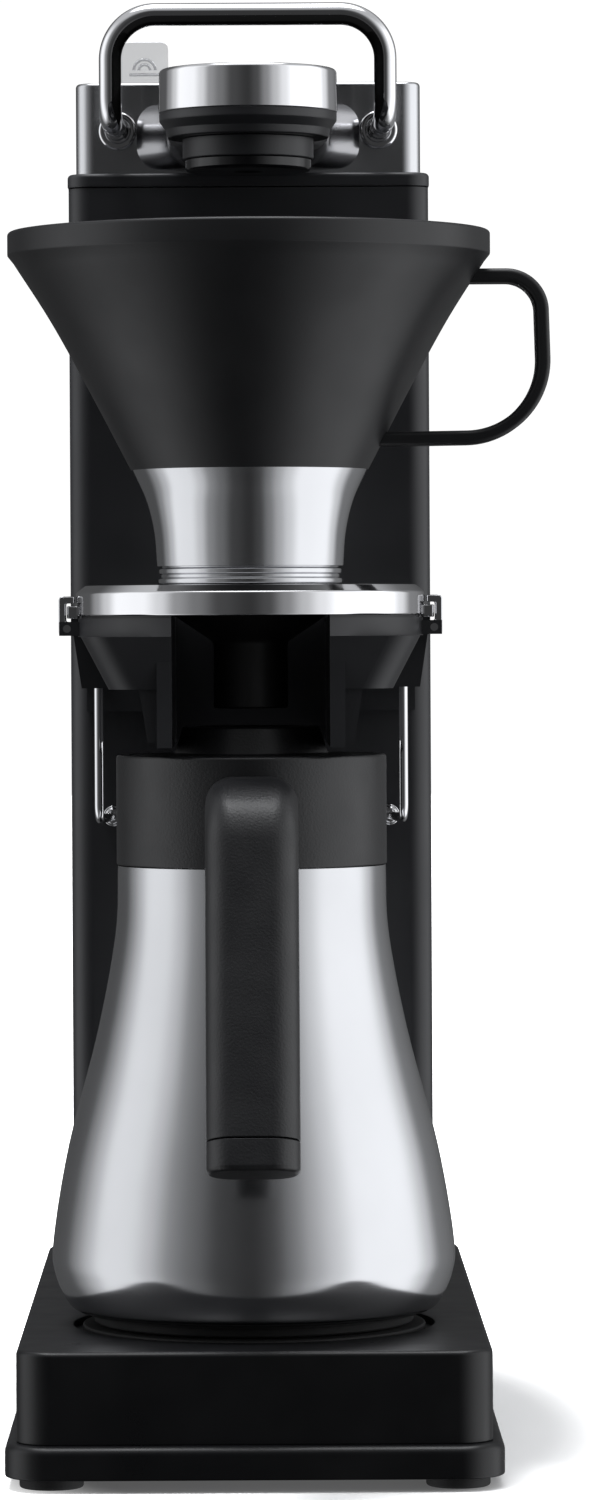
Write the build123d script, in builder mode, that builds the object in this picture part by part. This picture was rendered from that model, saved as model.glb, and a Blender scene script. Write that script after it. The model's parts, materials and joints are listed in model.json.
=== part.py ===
from build123d import *
import math
import os

# Compact pour-over coffee brewer: a weighted base, a slim column with the pump and heater,
# a rear water tank, a swan-necked nozzle head, a dripper on a chrome ring and a steel carafe.
# Millimetres. X is the brewer's right, -Y its front, Z is up from the table.

# ---- driving dimensions -------------------------------------------------------------------
FIT = 0.3          # gap between pieces that move apart by hand
RUN = 0.05         # radial clearance of a running or locating fit

# base
PLATE_W, PLATE_D, PLATE_T, PLATE_R = 123.9, 271.0, 8.4, 11.0
PLATE_FLOOR, PLATE_BEVEL = 2.5, 2.0
FOOT_R, FOOT_H, FOOT_INSET = 8.0, 3.1, 11.5
HOUSING_W, HOUSING_D, HOUSING_H, HOUSING_R = 118.2, 265.3, 23.0, 9.0
HOUSING_WALL, HOUSING_TOP = 3.0, 4.0
RECESS_R, RECESS_DEPTH, PAD_R, PAD_PROUD = 46.2, 1.8, 44.0, 0.2
BOSS_R, SCREW_R, SCREW_HEAD_R = 3.5, 1.5, 2.9
GLAND_R, GLAND_BORE_R, GLAND_NOSE, GLAND_X = 6.0, 3.5, 8.35, 30.0

# column
COLUMN_W, COLUMN_FRONT, COLUMN_BACK, COLUMN_R, COLUMN_WALL = 96.5, -4.0, 58.0, 6.0, 2.5
COLUMN_H, COLUMN_CAP_T, COLUMN_LIP = 296.1, 3.9, 14.0
BACK_PANEL_T = 2.5
WATER_Y, HOSE_R, HOSE_BORE_R = 36.0, 4.0, 2.5
PUMP_R, PUMP_H, PUMP_GAP = 12.0, 60.0, 24.0
HEATER_W, HEATER_D, HEATER_H = 50.0, 24.0, 70.0
NIPPLE_H, PIPE_GAP = 9.0, 20.0
FRAME_T, FRAME_GAP, FRAME_H = 2.0, 4.0, 262.0

# side controls
PANEL_Y, PANEL_DROP, PANEL_W, PANEL_H, PANEL_PROUD = 27.0, 84.6, 30.0, 100.0, 0.3
START_R, SMALL_R, BUTTON_PROUD = 7.0, 4.5, 0.2
START_UP, MODE_UP, CUP_UP, LENS_UP = 34.0, 10.0, -10.0, -32.0
LENS_R, LENS_PITCH, BOARD_T, BOARD_GAP = 1.3, 7.0, 1.6, 6.15

# hood, carry handle and nozzle
HOOD_W, HOOD_FRONT, HOOD_BACK, HOOD_H, HOOD_R, HOOD_WALL = 93.1, 10.5, 56.0, 25.5, 5.2, 1.2
GRIP_R, GRIP_SPAN, GRIP_UP, GRIP_Y, GRIP_CORNER, GRIP_HEEL = 3.0, 73.2, 19.0, -13.5, 12.0, 7.0
FLANGE_X, FLANGE_UP, FLANGE_R, FLANGE_T = 35.1, 12.4, 5.2, 2.0
ARM_W, ARM_UP, ARM_T, ARM_FLARE = 43.0, 2.0, 13.5, 8.5
CAP_R, CAP_UP, CAP_H = 23.0, 10.5, 11.2
BARREL_R, TIP_R, NOZZLE_DROP, INLET_R = 16.8, 16.2, 4.5, 1.6

# the brewing axis: carafe, dripper, ring and nozzle stand on it
BREW_Y = -68.0
RING_UP = 181.5     # ring, cradle, dripper and carafe are set out from the deck
RING_R, RING_BAND_H, RING_H, RING_WALL = 44.8, 6.2, 7.8, 1.6
CRADLE_R, CRADLE_H, CRADLE_BAND = 44.3, 18.6, 5.3
MOUTH_HALF, MOUTH_WALL, MOUTH_H = 19.9, 3.8, 33.3
FUNNEL_R, SPOUT_R, SPOUT_DROP, FUNNEL_WALL = 32.5, 9.5, 23.8, 1.5
CLASP_T, CLASP_GAP, CLASP_DROP, CLASP_H, CLASP_W, CLASP_WALL = 4.0, 0.4, 5.0, 10.1, 8.0, 1.8
CLASP_PIN_R = 1.0
STAY_R, STAY_Y, STAY_LEAN, STAY_DROP, STAY_BEND = 1.2, -37.5, 3.1, 34.7, 4.0

# dripper
RIM_R, RIM_T = 62.0, 6.0
CONE_UP, CONE_WALL = 29.6, 2.4
FLARE_SHAPE = [(60.4, 53.1), (50.8, 38.0), (40.8, 19.8),
               (30.5, 0)]       # radius, height above the sleeve
SLEEVE_SHAPE = [(30.2, 0), (26.7, -8.0), (24.8, -16.0), (24.1, -24.7)]    # radius, height below the cone
NECK_R, NECK_H, NECK_WALL, OUTLET_R = 22.5, 24.4, 2.0, 5.0
LOOP_T, LOOP_W, LOOP_OUT, LOOP_UP, LOOP_H = 3.6, 12.0, 77.8, 5.4, 45.8

# tank
DOCK_W, DOCK_FRONT, DOCK_BACK, DOCK_H = 96.0, 59.0, 130.0, 25.5
TANK_W, TANK_FRONT, TANK_BACK, TANK_UP, TANK_WALL, TANK_R = 92.0, 62.0, 126.0, 13.5, 2.5, 10.0
LID_T, TAB_X, TAB_W, TAB_H, TAB_Y, TAB_T = 4.0, -28.8, 13.2, 28.4, 69.5, 3.0
HINGE_R, HINGE_PIN_R, HINGE_W = 3.2, 1.5, 30.0

# carafe
CARAFE_FOOT_H, CARAFE_WALL, VACUUM_GAP, FOOT_OUT = 2.3, 1.0, 3.5, 42.0
BULGE_SHAPE = [(34.4, 114.7), (35.1, 97.4), (39.7, 72.5), (47.4, 42.9), (51.4, 19.3), (51.0, 10.2),
               (47.2, 2.3)]
COLLAR_R, COLLAR_H, KEY_W = 34.7, 28.4, 24.0
HANDLE_W, HANDLE_T, HANDLE_UP, HANDLE_DROP = 23.2, 15.0, 16.0, 88.5
HANDLE_OUT, HANDLE_END_R, HANDLE_SEAM = 57.0, 81.0, 8.0
LID_DISC_R, LID_HOLE_R, KNOB_LOW_R, KNOB_TOP_R, KNOB_H, PLUG_H = 31.0, 6.0, 19.8, 17.5, 7.2, 15.4

# ---- levels and places worked out from them -------------------------------------------------
PLATE_TOP = FOOT_H + PLATE_T
DECK = PLATE_TOP + HOUSING_H
COLUMN_TOP = DECK + COLUMN_H
HOOD_LOW = COLUMN_TOP + COLUMN_CAP_T
HOOD_TOP = HOOD_LOW + HOOD_H
COLUMN_D = COLUMN_BACK - COLUMN_FRONT
COLUMN_Y = (COLUMN_FRONT + COLUMN_BACK) / 2
INNER_X = COLUMN_W / 2 - COLUMN_WALL
PANEL_FACE = COLUMN_BACK - COLUMN_WALL
BOARD_X = INNER_X - BOARD_GAP
FRAME_W = 2 * (BOARD_X - BOARD_T - FRAME_GAP)
PAD_TOP = DECK + PAD_PROUD
CARAFE_LOW = PAD_TOP + FIT
CARAFE_BASE = CARAFE_LOW + CARAFE_FOOT_H
BULGE = [(r, CARAFE_BASE + h) for r, h in BULGE_SHAPE]
NECK_TOP_R, SHOULDER_Z = BULGE[0]
COLLAR_TOP = SHOULDER_Z + COLLAR_H
KNOB_TOP = COLLAR_TOP + KNOB_H
LID_PLUG_LOW = COLLAR_TOP - PLUG_H
HANDLE_ROOT_Z = SHOULDER_Z + HANDLE_UP
HANDLE_END_Z = HANDLE_ROOT_Z - HANDLE_DROP

RING_LOW = DECK + RING_UP
RING_BAND_TOP = RING_LOW + RING_BAND_H
RING_TOP = RING_LOW + RING_H
SOCKET_R = NECK_R - 2.0
CRADLE_LOW = RING_LOW - CRADLE_H
MOUTH_LOW = RING_LOW - MOUTH_H
SPOUT_LOW = RING_LOW - SPOUT_DROP
CLASP_IN = RING_R + CLASP_GAP
CLASP_OUT = CLASP_IN + CLASP_T
CLASP_LOW = RING_LOW - CLASP_DROP
CLASP_HIGH = CLASP_LOW + CLASP_H
CLASP_PIN_X, CLASP_PIN_Z = CLASP_IN + CLASP_WALL, CLASP_LOW + CLASP_WALL
STAY_Z = CRADLE_LOW - STAY_DROP

CONE_LOW = RING_TOP + CONE_UP
FLARE = [(r, CONE_LOW + h) for r, h in FLARE_SHAPE]
SLEEVE = [(r, CONE_LOW + h) for r, h in SLEEVE_SHAPE]
RIM_LOW = FLARE[0][1] + 2
RIM_TOP = RIM_LOW + RIM_T
NECK_LOW = CONE_LOW - NECK_H
LOOP_TOP = RIM_LOW - LOOP_UP + 1.5
LOOP_LOW = LOOP_TOP - LOOP_H

FLANGE_Z = HOOD_LOW + FLANGE_UP
GRIP_TOP = HOOD_TOP + GRIP_UP
GRIP_LOW = FLANGE_Z + 1.3
ARM_LOW = HOOD_LOW + ARM_UP
ARM_HIGH = ARM_LOW + ARM_T
CAP_LOW = HOOD_LOW + CAP_UP
CAP_HIGH = CAP_LOW + CAP_H
NOZZLE_LOW = HOOD_LOW - NOZZLE_DROP
PANEL_Z = COLUMN_TOP - PANEL_DROP
START_Z, MODE_Z, CUP_Z, LENS_Z = [PANEL_Z + up for up in (START_UP, MODE_UP, CUP_UP, LENS_UP)]
DOCK_TOP = DECK + DOCK_H
TANK_TOP = HOOD_LOW + TANK_UP
GLAND_Z = PLATE_TOP + HOUSING_H / 2
BREW_AXIS = Axis((0, BREW_Y, 0), (0, 0, 1))
BREW_PLANE = Plane((0, BREW_Y, 0), x_dir=(1, 0, 0), z_dir=(0, -1, 0))
WATER_AXIS = Axis((0, WATER_Y, 0), (0, 0, 1))
WATER_PLANE = Plane((0, WATER_Y, 0), x_dir=(1, 0, 0), z_dir=(0, -1, 0))

# The row's origin is the middle of the footprint, handles and gland included.
HANDLE_LEAN = math.atan2(HANDLE_END_R - HANDLE_OUT, HANDLE_ROOT_Z - HANDLE_END_Z)
HANDLE_REACH = BREW_Y - HANDLE_END_R - HANDLE_T / 2 * math.cos(HANDLE_LEAN)
REAR_REACH = HOUSING_D / 2 + GLAND_NOSE
ORIGIN = Location((-(LOOP_OUT - RIM_R) / 2, -(HANDLE_REACH + REAR_REACH) / 2, 0))

os.makedirs("parts", exist_ok=True)


def save(part, label):
    """Name a finished piece, stand it on the row's origin and write it."""
    part.label = label
    placed = ORIGIN * part
    placed.label = label
    export_step(placed, f"parts/{label}.step")


def outline(plane, *points):
    """A closed straight-sided face on a plane."""
    with BuildSketch(plane) as face:
        with BuildLine():
            Polyline(*points, close=True)
        make_face()
    return face.sketch


def ring_outline(plane, outer, inner, low, high):
    """The half section of a plain ring or, with inner 0, of a disc."""
    return outline(plane, (inner, low), (outer, low), (outer, high), (inner, high))


def rounded(z, width, depth, radius, y=0.0, x=0.0):
    """A rounded rectangle at a height, centred on x and y."""
    with BuildSketch(Plane((x, y, z))) as face:
        RectangleRounded(width, depth, radius)
    return face.sketch


# ---- base ---------------------------------------------------------------------------------
SCREW_PLACES = [(x, y) for x in (-HOUSING_W / 2 + 10, HOUSING_W / 2 - 10) for y in (-96, 4, 98)]
FOOT_X = PLATE_W / 2 - FOOT_INSET
FOOT_Y = PLATE_D / 2 - FOOT_INSET - 2

with BuildPart() as base_plate:
    extrude(rounded(FOOT_H, PLATE_W, PLATE_D, PLATE_R), amount=PLATE_T)
    chamfer(base_plate.faces().sort_by(Axis.Z)[-1].edges(), PLATE_BEVEL)
    extrude(rounded(FOOT_H + PLATE_FLOOR, HOUSING_W - 12, HOUSING_D - 12, HOUSING_R - 4), amount=PLATE_T,
            mode=Mode.SUBTRACT)
    with Locations(*[Location((x, y, FOOT_H), (180, 0, 0)) for x, y in SCREW_PLACES]):
        CounterSinkHole(SCREW_R + RUN, SCREW_HEAD_R, depth=PLATE_FLOOR)
save(base_plate.part, "base_plate")

with BuildPart() as base_housing:
    extrude(rounded(PLATE_TOP, HOUSING_W, HOUSING_D, HOUSING_R), amount=HOUSING_H)
    fillet(base_housing.faces().sort_by(Axis.Z)[-1].edges(), 1.2)
    extrude(rounded(PLATE_TOP, HOUSING_W - 2 * HOUSING_WALL, HOUSING_D - 2 * HOUSING_WALL,
                    HOUSING_R - HOUSING_WALL), amount=HOUSING_H - HOUSING_TOP, mode=Mode.SUBTRACT)
    with BuildSketch(Plane.XY.offset(FOOT_H + PLATE_FLOOR)):
        with Locations(*SCREW_PLACES):
            Circle(BOSS_R)
    extrude(amount=DECK - HOUSING_TOP - FOOT_H - PLATE_FLOOR)
    with BuildSketch(Plane.XY.offset(FOOT_H + PLATE_FLOOR)):
        with Locations(*SCREW_PLACES):
            Circle(SCREW_R)
    extrude(amount=12, mode=Mode.SUBTRACT)
    revolve(ring_outline(BREW_PLANE, RECESS_R, 0, DECK - RECESS_DEPTH, DECK + 1), axis=BREW_AXIS,
            mode=Mode.SUBTRACT)
    # hose passages under the column and under the tank, and the cord gland's hole
    with BuildSketch(Plane.XY.offset(DECK - HOUSING_TOP)):
        with Locations((0, WATER_Y), (0, (TANK_FRONT + TANK_BACK) / 2)):
            Circle(HOSE_R + 1)
    extrude(amount=HOUSING_TOP, mode=Mode.SUBTRACT)
    with Locations(Location((GLAND_X, HOUSING_D / 2, GLAND_Z), (90, 0, 0))):
        Cylinder(GLAND_R + RUN, 4 * HOUSING_WALL, mode=Mode.SUBTRACT)
save(base_housing.part, "base_housing")

with BuildPart() as base_feet:
    with BuildSketch():
        with Locations(*[(x, y) for x in (-FOOT_X, FOOT_X) for y in (-FOOT_Y, FOOT_Y)]):
            Circle(FOOT_R)
    extrude(amount=FOOT_H)
    chamfer(base_feet.faces().filter_by(Axis.Z).group_by(Axis.Z)[0].edges(), 0.5)
save(base_feet.part, "base_feet")

with BuildPart() as base_screws:
    for screw_x, screw_y in SCREW_PLACES:
        screw_plane = Plane((screw_x, screw_y, FOOT_H), x_dir=(1, 0, 0), z_dir=(0, -1, 0))
        revolve(outline(screw_plane, (0, 0.1), (SCREW_HEAD_R - 0.1, 0.1), (SCREW_R, SCREW_HEAD_R - SCREW_R),
                        (SCREW_R, 11), (0, 11)), axis=Axis((screw_x, screw_y, 0), (0, 0, 1)))
save(base_screws.part, "base_screws")

with BuildPart() as rest_pad:
    pad_low = DECK - RECESS_DEPTH
    revolve(outline(BREW_PLANE, (0, pad_low), (PAD_R, pad_low), (PAD_R, PAD_TOP - 0.6),
                    (PAD_R - 0.6, PAD_TOP),
                    (0, PAD_TOP)), axis=BREW_AXIS)
    for groove_r in (14, 22, 30, 38):
        revolve(ring_outline(BREW_PLANE, groove_r + 1, groove_r - 1, PAD_TOP - 0.6, PAD_TOP + 1),
                axis=BREW_AXIS,
                mode=Mode.SUBTRACT)
save(rest_pad.part, "rest_pad")

GLAND_AXIS = Axis((GLAND_X, 0, GLAND_Z), (0, 1, 0))
GLAND_PLANE = Plane((GLAND_X, HOUSING_D / 2, GLAND_Z), x_dir=(1, 0, 0), z_dir=(0, 0, 1))
with BuildPart() as cord_gland:
    revolve(outline(GLAND_PLANE, (GLAND_BORE_R, -5), (GLAND_R, -5), (GLAND_R, 0), (GLAND_R + 2, 0),
                    (GLAND_R + 2, 2.5), (GLAND_R, 3.5), (GLAND_R - 1, GLAND_NOSE),
                    (GLAND_BORE_R, GLAND_NOSE)),
            axis=GLAND_AXIS)
save(cord_gland.part, "cord_gland")

with BuildPart() as power_board:
    with Locations((0, -20, DECK - HOUSING_TOP - 8)):
        Box(64, 90, BOARD_T)
    with Locations((-16, -36, DECK - HOUSING_TOP - 4), (18, -8, DECK - HOUSING_TOP - 4)):
        Box(18, 22, 7)
    with Locations(*[(x, -20 + y, DECK - HOUSING_TOP - 3.6) for x in (-27, 27) for y in (-40, 40)]):
        Cylinder(2.5, 7.2)
save(power_board.part, "power_board")

# ---- column -------------------------------------------------------------------------------
BACK_SCREWS = [(side * (COLUMN_W / 2 - COLUMN_LIP + 4), z)
               for side in (-1, 1) for z in (DOCK_TOP + 14, DECK + COLUMN_H / 2, COLUMN_TOP - 20)]
BACK_PANEL_W = COLUMN_W - 2 * COLUMN_R - 2 * RUN
BUTTONS = [("start_button", START_R, START_Z), ("mode_button", SMALL_R, MODE_Z),
           ("cup_button", SMALL_R, CUP_Z)]
BOARD_PEGS = [(PANEL_Y + dy, PANEL_Z + 11 + dz) for dy in (-13, 13) for dz in (-35, 35)]
SIDE_PLANE = Plane((0, 0, 0), x_dir=(0, 1, 0), z_dir=(1, 0, 0))

with BuildPart() as column_shell:
    extrude(rounded(DECK, COLUMN_W, COLUMN_D, COLUMN_R, COLUMN_Y), amount=COLUMN_H)
    extrude(rounded(DECK, COLUMN_W - 2 * COLUMN_WALL, COLUMN_D - 2 * COLUMN_WALL, COLUMN_R - COLUMN_WALL,
                    COLUMN_Y), amount=COLUMN_H, mode=Mode.SUBTRACT)
    with Locations((0, COLUMN_BACK, DECK + COLUMN_H / 2)):
        Box(COLUMN_W - 2 * COLUMN_LIP, 3 * COLUMN_WALL, COLUMN_H, mode=Mode.SUBTRACT)
    # bosses that carry the control board
    with BuildSketch(SIDE_PLANE.offset(BOARD_X)):
        with Locations(*BOARD_PEGS):
            Circle(2.5)
    extrude(amount=INNER_X - BOARD_X)
    # button and lamp holes through the side wall, back screw holes
    with BuildSketch(SIDE_PLANE.offset(INNER_X - 1)):
        for _, button_r, button_z in BUTTONS:
            with Locations((PANEL_Y, button_z)):
                Circle(button_r + FIT)
        with Locations(*[(PANEL_Y + step * LENS_PITCH, LENS_Z) for step in (-1, 0, 1)]):
            Circle(LENS_R + RUN)
    extrude(amount=COLUMN_WALL + 2, mode=Mode.SUBTRACT)
    with BuildSketch(Plane.XZ.offset(-COLUMN_BACK)):
        with Locations(*BACK_SCREWS):
            Circle(SCREW_R + RUN)
    extrude(amount=COLUMN_WALL, mode=Mode.SUBTRACT)
save(column_shell.part, "column_shell")

with BuildPart() as column_back:
    with Locations((0, PANEL_FACE - BACK_PANEL_T / 2, DECK + COLUMN_H / 2)):
        Box(BACK_PANEL_W, BACK_PANEL_T, COLUMN_H - 2)
    with BuildSketch(Plane.XZ.offset(-PANEL_FACE)):
        with Locations(*BACK_SCREWS):
            Circle(SCREW_R)
    extrude(amount=BACK_PANEL_T, mode=Mode.SUBTRACT)
    # cooling slots
    with BuildSketch(Plane.XZ.offset(-PANEL_FACE)):
        with Locations((0, DECK + 20)):
            with GridLocations(0, 6, 1, 5):
                SlotOverall(46, 2.5)
    extrude(amount=BACK_PANEL_T, mode=Mode.SUBTRACT)
save(column_back.part, "column_back")

with BuildPart() as back_screws:
    with BuildSketch(Plane.XZ.offset(-COLUMN_BACK)):
        with Locations(*BACK_SCREWS):
            Circle(SCREW_HEAD_R)
    extrude(amount=-1.4)
    with BuildSketch(Plane.XZ.offset(-COLUMN_BACK)):
        with Locations(*BACK_SCREWS):
            Circle(SCREW_R)
    extrude(amount=COLUMN_WALL + BACK_PANEL_T)
save(back_screws.part, "back_screws")

with BuildPart() as column_cap:
    extrude(rounded(COLUMN_TOP, COLUMN_W + 0.3, COLUMN_D + 0.3, COLUMN_R, COLUMN_Y), amount=COLUMN_CAP_T)
    fillet(column_cap.faces().sort_by(Axis.Z)[-1].edges(), 0.7)
    extrude(rounded(COLUMN_TOP - 3, 2 * INNER_X - 8, COLUMN_D - 2 * COLUMN_WALL - 10, 3, COLUMN_Y - 2),
            amount=3)
    extrude(rounded(COLUMN_TOP - 3, 2 * INNER_X - 14, COLUMN_D - 2 * COLUMN_WALL - 16, 2, COLUMN_Y - 2),
            amount=3,
            mode=Mode.SUBTRACT)
    with BuildSketch(Plane.XY.offset(COLUMN_TOP)):
        with Locations((0, WATER_Y)):
            Circle(HOSE_R + 1)
    extrude(amount=COLUMN_CAP_T, mode=Mode.SUBTRACT)
save(column_cap.part, "column_cap")

FRAME_Y = WATER_Y - HEATER_D / 2
with BuildPart() as column_frame:
    with Locations((0, FRAME_Y - FRAME_T / 2, DECK + FRAME_H / 2)):
        Box(FRAME_W, FRAME_T, FRAME_H)
    with Locations((0, FRAME_Y + 12, DECK + FRAME_T / 2)):
        Box(FRAME_W, 24, FRAME_T)
    with Locations((0, FRAME_Y - FRAME_T - (FRAME_Y - FRAME_T - COLUMN_FRONT - COLUMN_WALL) / 2,
                    DECK + FRAME_H - FRAME_T / 2)):
        Box(FRAME_W, FRAME_Y - FRAME_T - COLUMN_FRONT - COLUMN_WALL, FRAME_T)
    with BuildSketch(Plane.XY.offset(DECK)):
        with Locations((0, WATER_Y)):
            Circle(HOSE_R + 1)
    extrude(amount=FRAME_T, mode=Mode.SUBTRACT)
save(column_frame.part, "column_frame")

PUMP_LOW = DECK + PUMP_GAP
HEATER_LOW = PUMP_LOW + PUMP_H + 2 * NIPPLE_H + PIPE_GAP
HEATER_TOP = HEATER_LOW + HEATER_H
with BuildPart() as pump:
    revolve(outline(WATER_PLANE, (0, PUMP_LOW - NIPPLE_H), (HOSE_BORE_R - RUN, PUMP_LOW - NIPPLE_H),
                    (HOSE_BORE_R - RUN, PUMP_LOW), (PUMP_R, PUMP_LOW), (PUMP_R, PUMP_LOW + 38),
                    (PUMP_R - 2, PUMP_LOW + 40), (PUMP_R - 2, PUMP_LOW + PUMP_H),
                    (HOSE_BORE_R - RUN, PUMP_LOW + PUMP_H),
                    (HOSE_BORE_R - RUN, PUMP_LOW + PUMP_H + NIPPLE_H),
                    (0, PUMP_LOW + PUMP_H + NIPPLE_H)), axis=WATER_AXIS)
save(pump.part, "pump")

with BuildPart() as heater:
    with Locations((0, WATER_Y, HEATER_LOW + HEATER_H / 2)):
        Box(HEATER_W, HEATER_D, HEATER_H)
    fillet(heater.edges().filter_by(Axis.Z), 4)
    with Locations((0, WATER_Y, HEATER_LOW + HEATER_H / 2)):
        Cylinder(HOSE_BORE_R - RUN, HEATER_H + 2 * NIPPLE_H)
save(heater.part, "heater")

with BuildPart() as thermostat:
    with BuildSketch(Plane.XZ.offset(-(WATER_Y + HEATER_D / 2))):
        with Locations((0, HEATER_LOW + HEATER_H / 2)):
            Circle(8)
    extrude(amount=-4)
save(thermostat.part, "thermostat")

TANK_Y = (TANK_FRONT + TANK_BACK) / 2
HOSE_FLOOR = PLATE_TOP + 8
with BuildPart() as hose_supply:
    with BuildLine() as supply_path:
        FilletPolyline((0, TANK_Y, DECK + 4), (0, TANK_Y, HOSE_FLOOR), (0, WATER_Y, HOSE_FLOOR),
                       (0, WATER_Y, PUMP_LOW), radius=9)
    with BuildSketch(Plane.XY.offset(DECK + 4)):
        with Locations((0, TANK_Y)):
            Circle(HOSE_R)
            Circle(HOSE_BORE_R, mode=Mode.SUBTRACT)
    sweep(path=supply_path.wires()[0])
save(hose_supply.part, "hose_supply")

with BuildPart() as hose_link:
    revolve(ring_outline(WATER_PLANE, HOSE_R, HOSE_BORE_R, PUMP_LOW + PUMP_H, HEATER_LOW), axis=WATER_AXIS)
save(hose_link.part, "hose_link")

ARM_Z = (ARM_LOW + ARM_HIGH) / 2
with BuildPart() as hose_riser:
    with BuildLine() as riser_path:
        FilletPolyline((0, WATER_Y, HEATER_TOP), (0, WATER_Y, ARM_Z), (0, BREW_Y + CAP_R + 1, ARM_Z),
                       radius=9)
    with BuildSketch(Plane.XY.offset(HEATER_TOP)):
        with Locations((0, WATER_Y)):
            Circle(HOSE_R)
            Circle(HOSE_BORE_R, mode=Mode.SUBTRACT)
    sweep(path=riser_path.wires()[0])
save(hose_riser.part, "hose_riser")

# ---- side controls --------------------------------------------------------------------------
COLUMN_SIDE = COLUMN_W / 2
with BuildPart() as control_board:
    with BuildSketch(SIDE_PLANE.offset(BOARD_X - BOARD_T)):
        with Locations((PANEL_Y, PANEL_Z + 11)):
            Rectangle(36, 92)
    extrude(amount=BOARD_T)
    # one push switch behind each button
    with BuildSketch(SIDE_PLANE.offset(BOARD_X)):
        for _, _, button_z in BUTTONS:
            with Locations((PANEL_Y, button_z)):
                Rectangle(6, 6)
    extrude(amount=2.3)
save(control_board.part, "control_board")

with BuildPart() as control_bezel:
    with BuildSketch(SIDE_PLANE.offset(COLUMN_SIDE)):
        with Locations((PANEL_Y, PANEL_Z)):
            RectangleRounded(PANEL_W, PANEL_H, 6)
        for _, button_r, button_z in BUTTONS:
            with Locations((PANEL_Y, button_z)):
                Circle(button_r + FIT, mode=Mode.SUBTRACT)
        with Locations(*[(PANEL_Y + step * LENS_PITCH, LENS_Z) for step in (-1, 0, 1)]):
            Circle(LENS_R + RUN, mode=Mode.SUBTRACT)
    extrude(amount=PANEL_PROUD)
save(control_bezel.part, "control_bezel")

with BuildPart() as indicator_lenses:
    with BuildSketch(SIDE_PLANE.offset(BOARD_X)):
        with Locations(*[(PANEL_Y + step * LENS_PITCH, LENS_Z) for step in (-1, 0, 1)]):
            Circle(LENS_R)
    extrude(amount=COLUMN_SIDE + PANEL_PROUD - BOARD_X)
save(indicator_lenses.part, "indicator_lenses")

for button_name, button_r, button_z in BUTTONS:
    with BuildPart() as button:
        with BuildSketch(SIDE_PLANE.offset(INNER_X - 2)):
            with Locations((PANEL_Y, button_z)):
                Circle(button_r)
        extrude(amount=COLUMN_SIDE + PANEL_PROUD + BUTTON_PROUD - INNER_X + 2)
        fillet(button.faces().sort_by(Axis.X)[-1].edges(), 0.6)
        # the collar behind the wall keeps the button in
        with BuildSketch(SIDE_PLANE.offset(INNER_X - 2.2)):
            with Locations((PANEL_Y, button_z)):
                Circle(button_r + 1.2)
        extrude(amount=1.8)
    save(button.part, button_name)

# ---- hood, carry handle and nozzle ----------------------------------------------------------
HOOD_D = HOOD_BACK - HOOD_FRONT
HOOD_Y = (HOOD_FRONT + HOOD_BACK) / 2
STUD_R = 2.0
FLANGES = [(-FLANGE_X, FLANGE_Z), (FLANGE_X, FLANGE_Z)]

with BuildPart() as hood_shell:
    extrude(rounded(HOOD_LOW, HOOD_W, HOOD_D, HOOD_R, HOOD_Y), amount=HOOD_H)
    fillet(hood_shell.faces().sort_by(Axis.Z)[-1].edges(), 0.8)
    extrude(rounded(HOOD_LOW, HOOD_W - 2 * HOOD_WALL, HOOD_D - 2 * HOOD_WALL, HOOD_R - HOOD_WALL, HOOD_Y),
            amount=HOOD_H - HOOD_WALL, mode=Mode.SUBTRACT)
    with BuildSketch(Plane.XZ.offset(-HOOD_FRONT)):
        with Locations(*FLANGES):
            Circle(STUD_R + RUN)
        with Locations((0, ARM_Z)):
            Circle(HOSE_R + 1)
    extrude(amount=-HOOD_WALL, mode=Mode.SUBTRACT)
save(hood_shell.part, "hood_shell")

with BuildPart() as carry_handle:
    with BuildLine() as grip_path:
        grip_x = GRIP_SPAN / 2
        grip_z = GRIP_TOP - GRIP_R
        FilletPolyline((-FLANGE_X, HOOD_FRONT, FLANGE_Z), (-grip_x, GRIP_Y, GRIP_LOW),
                       (-grip_x, GRIP_Y, grip_z),
                       (grip_x, GRIP_Y, grip_z), (grip_x, GRIP_Y, GRIP_LOW),
                       (FLANGE_X, HOOD_FRONT, FLANGE_Z),
                       radius=[GRIP_HEEL, GRIP_CORNER, GRIP_CORNER, GRIP_HEEL])
    with BuildSketch(Plane(grip_path.wires()[0] @ 0, z_dir=grip_path.wires()[0] % 0)):
        Circle(GRIP_R)
    sweep(path=grip_path.wires()[0])
    with Locations((0, HOOD_Y, HOOD_LOW)):
        Box(HOOD_W, HOOD_D, 4 * HOOD_H, mode=Mode.SUBTRACT)
    # threaded studs through the hood
    with BuildSketch(Plane.XZ.offset(-HOOD_FRONT)):
        with Locations(*FLANGES):
            Circle(STUD_R)
    extrude(amount=-6)
save(carry_handle.part, "carry_handle")

with BuildPart() as handle_flanges:
    for flange_x, flange_z in FLANGES:
        flange_plane = Plane((flange_x, HOOD_FRONT, flange_z), x_dir=(1, 0, 0), z_dir=(0, 0, 1))
        revolve(outline(flange_plane, (GRIP_R + 0.3, 0), (FLANGE_R, 0), (FLANGE_R, -FLANGE_T / 2),
                        (FLANGE_R - 0.8, -FLANGE_T), (GRIP_R + 0.3, -FLANGE_T)),
                axis=Axis((flange_x, 0, flange_z), (0, 1, 0)))
save(handle_flanges.part, "handle_flanges")

with BuildPart() as handle_nuts:
    with BuildSketch(Plane.XZ.offset(-HOOD_FRONT - HOOD_WALL)):
        with Locations(*FLANGES):
            RegularPolygon(4, 6)
            Circle(STUD_R, mode=Mode.SUBTRACT)
    extrude(amount=-3)
save(handle_nuts.part, "handle_nuts")

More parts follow.
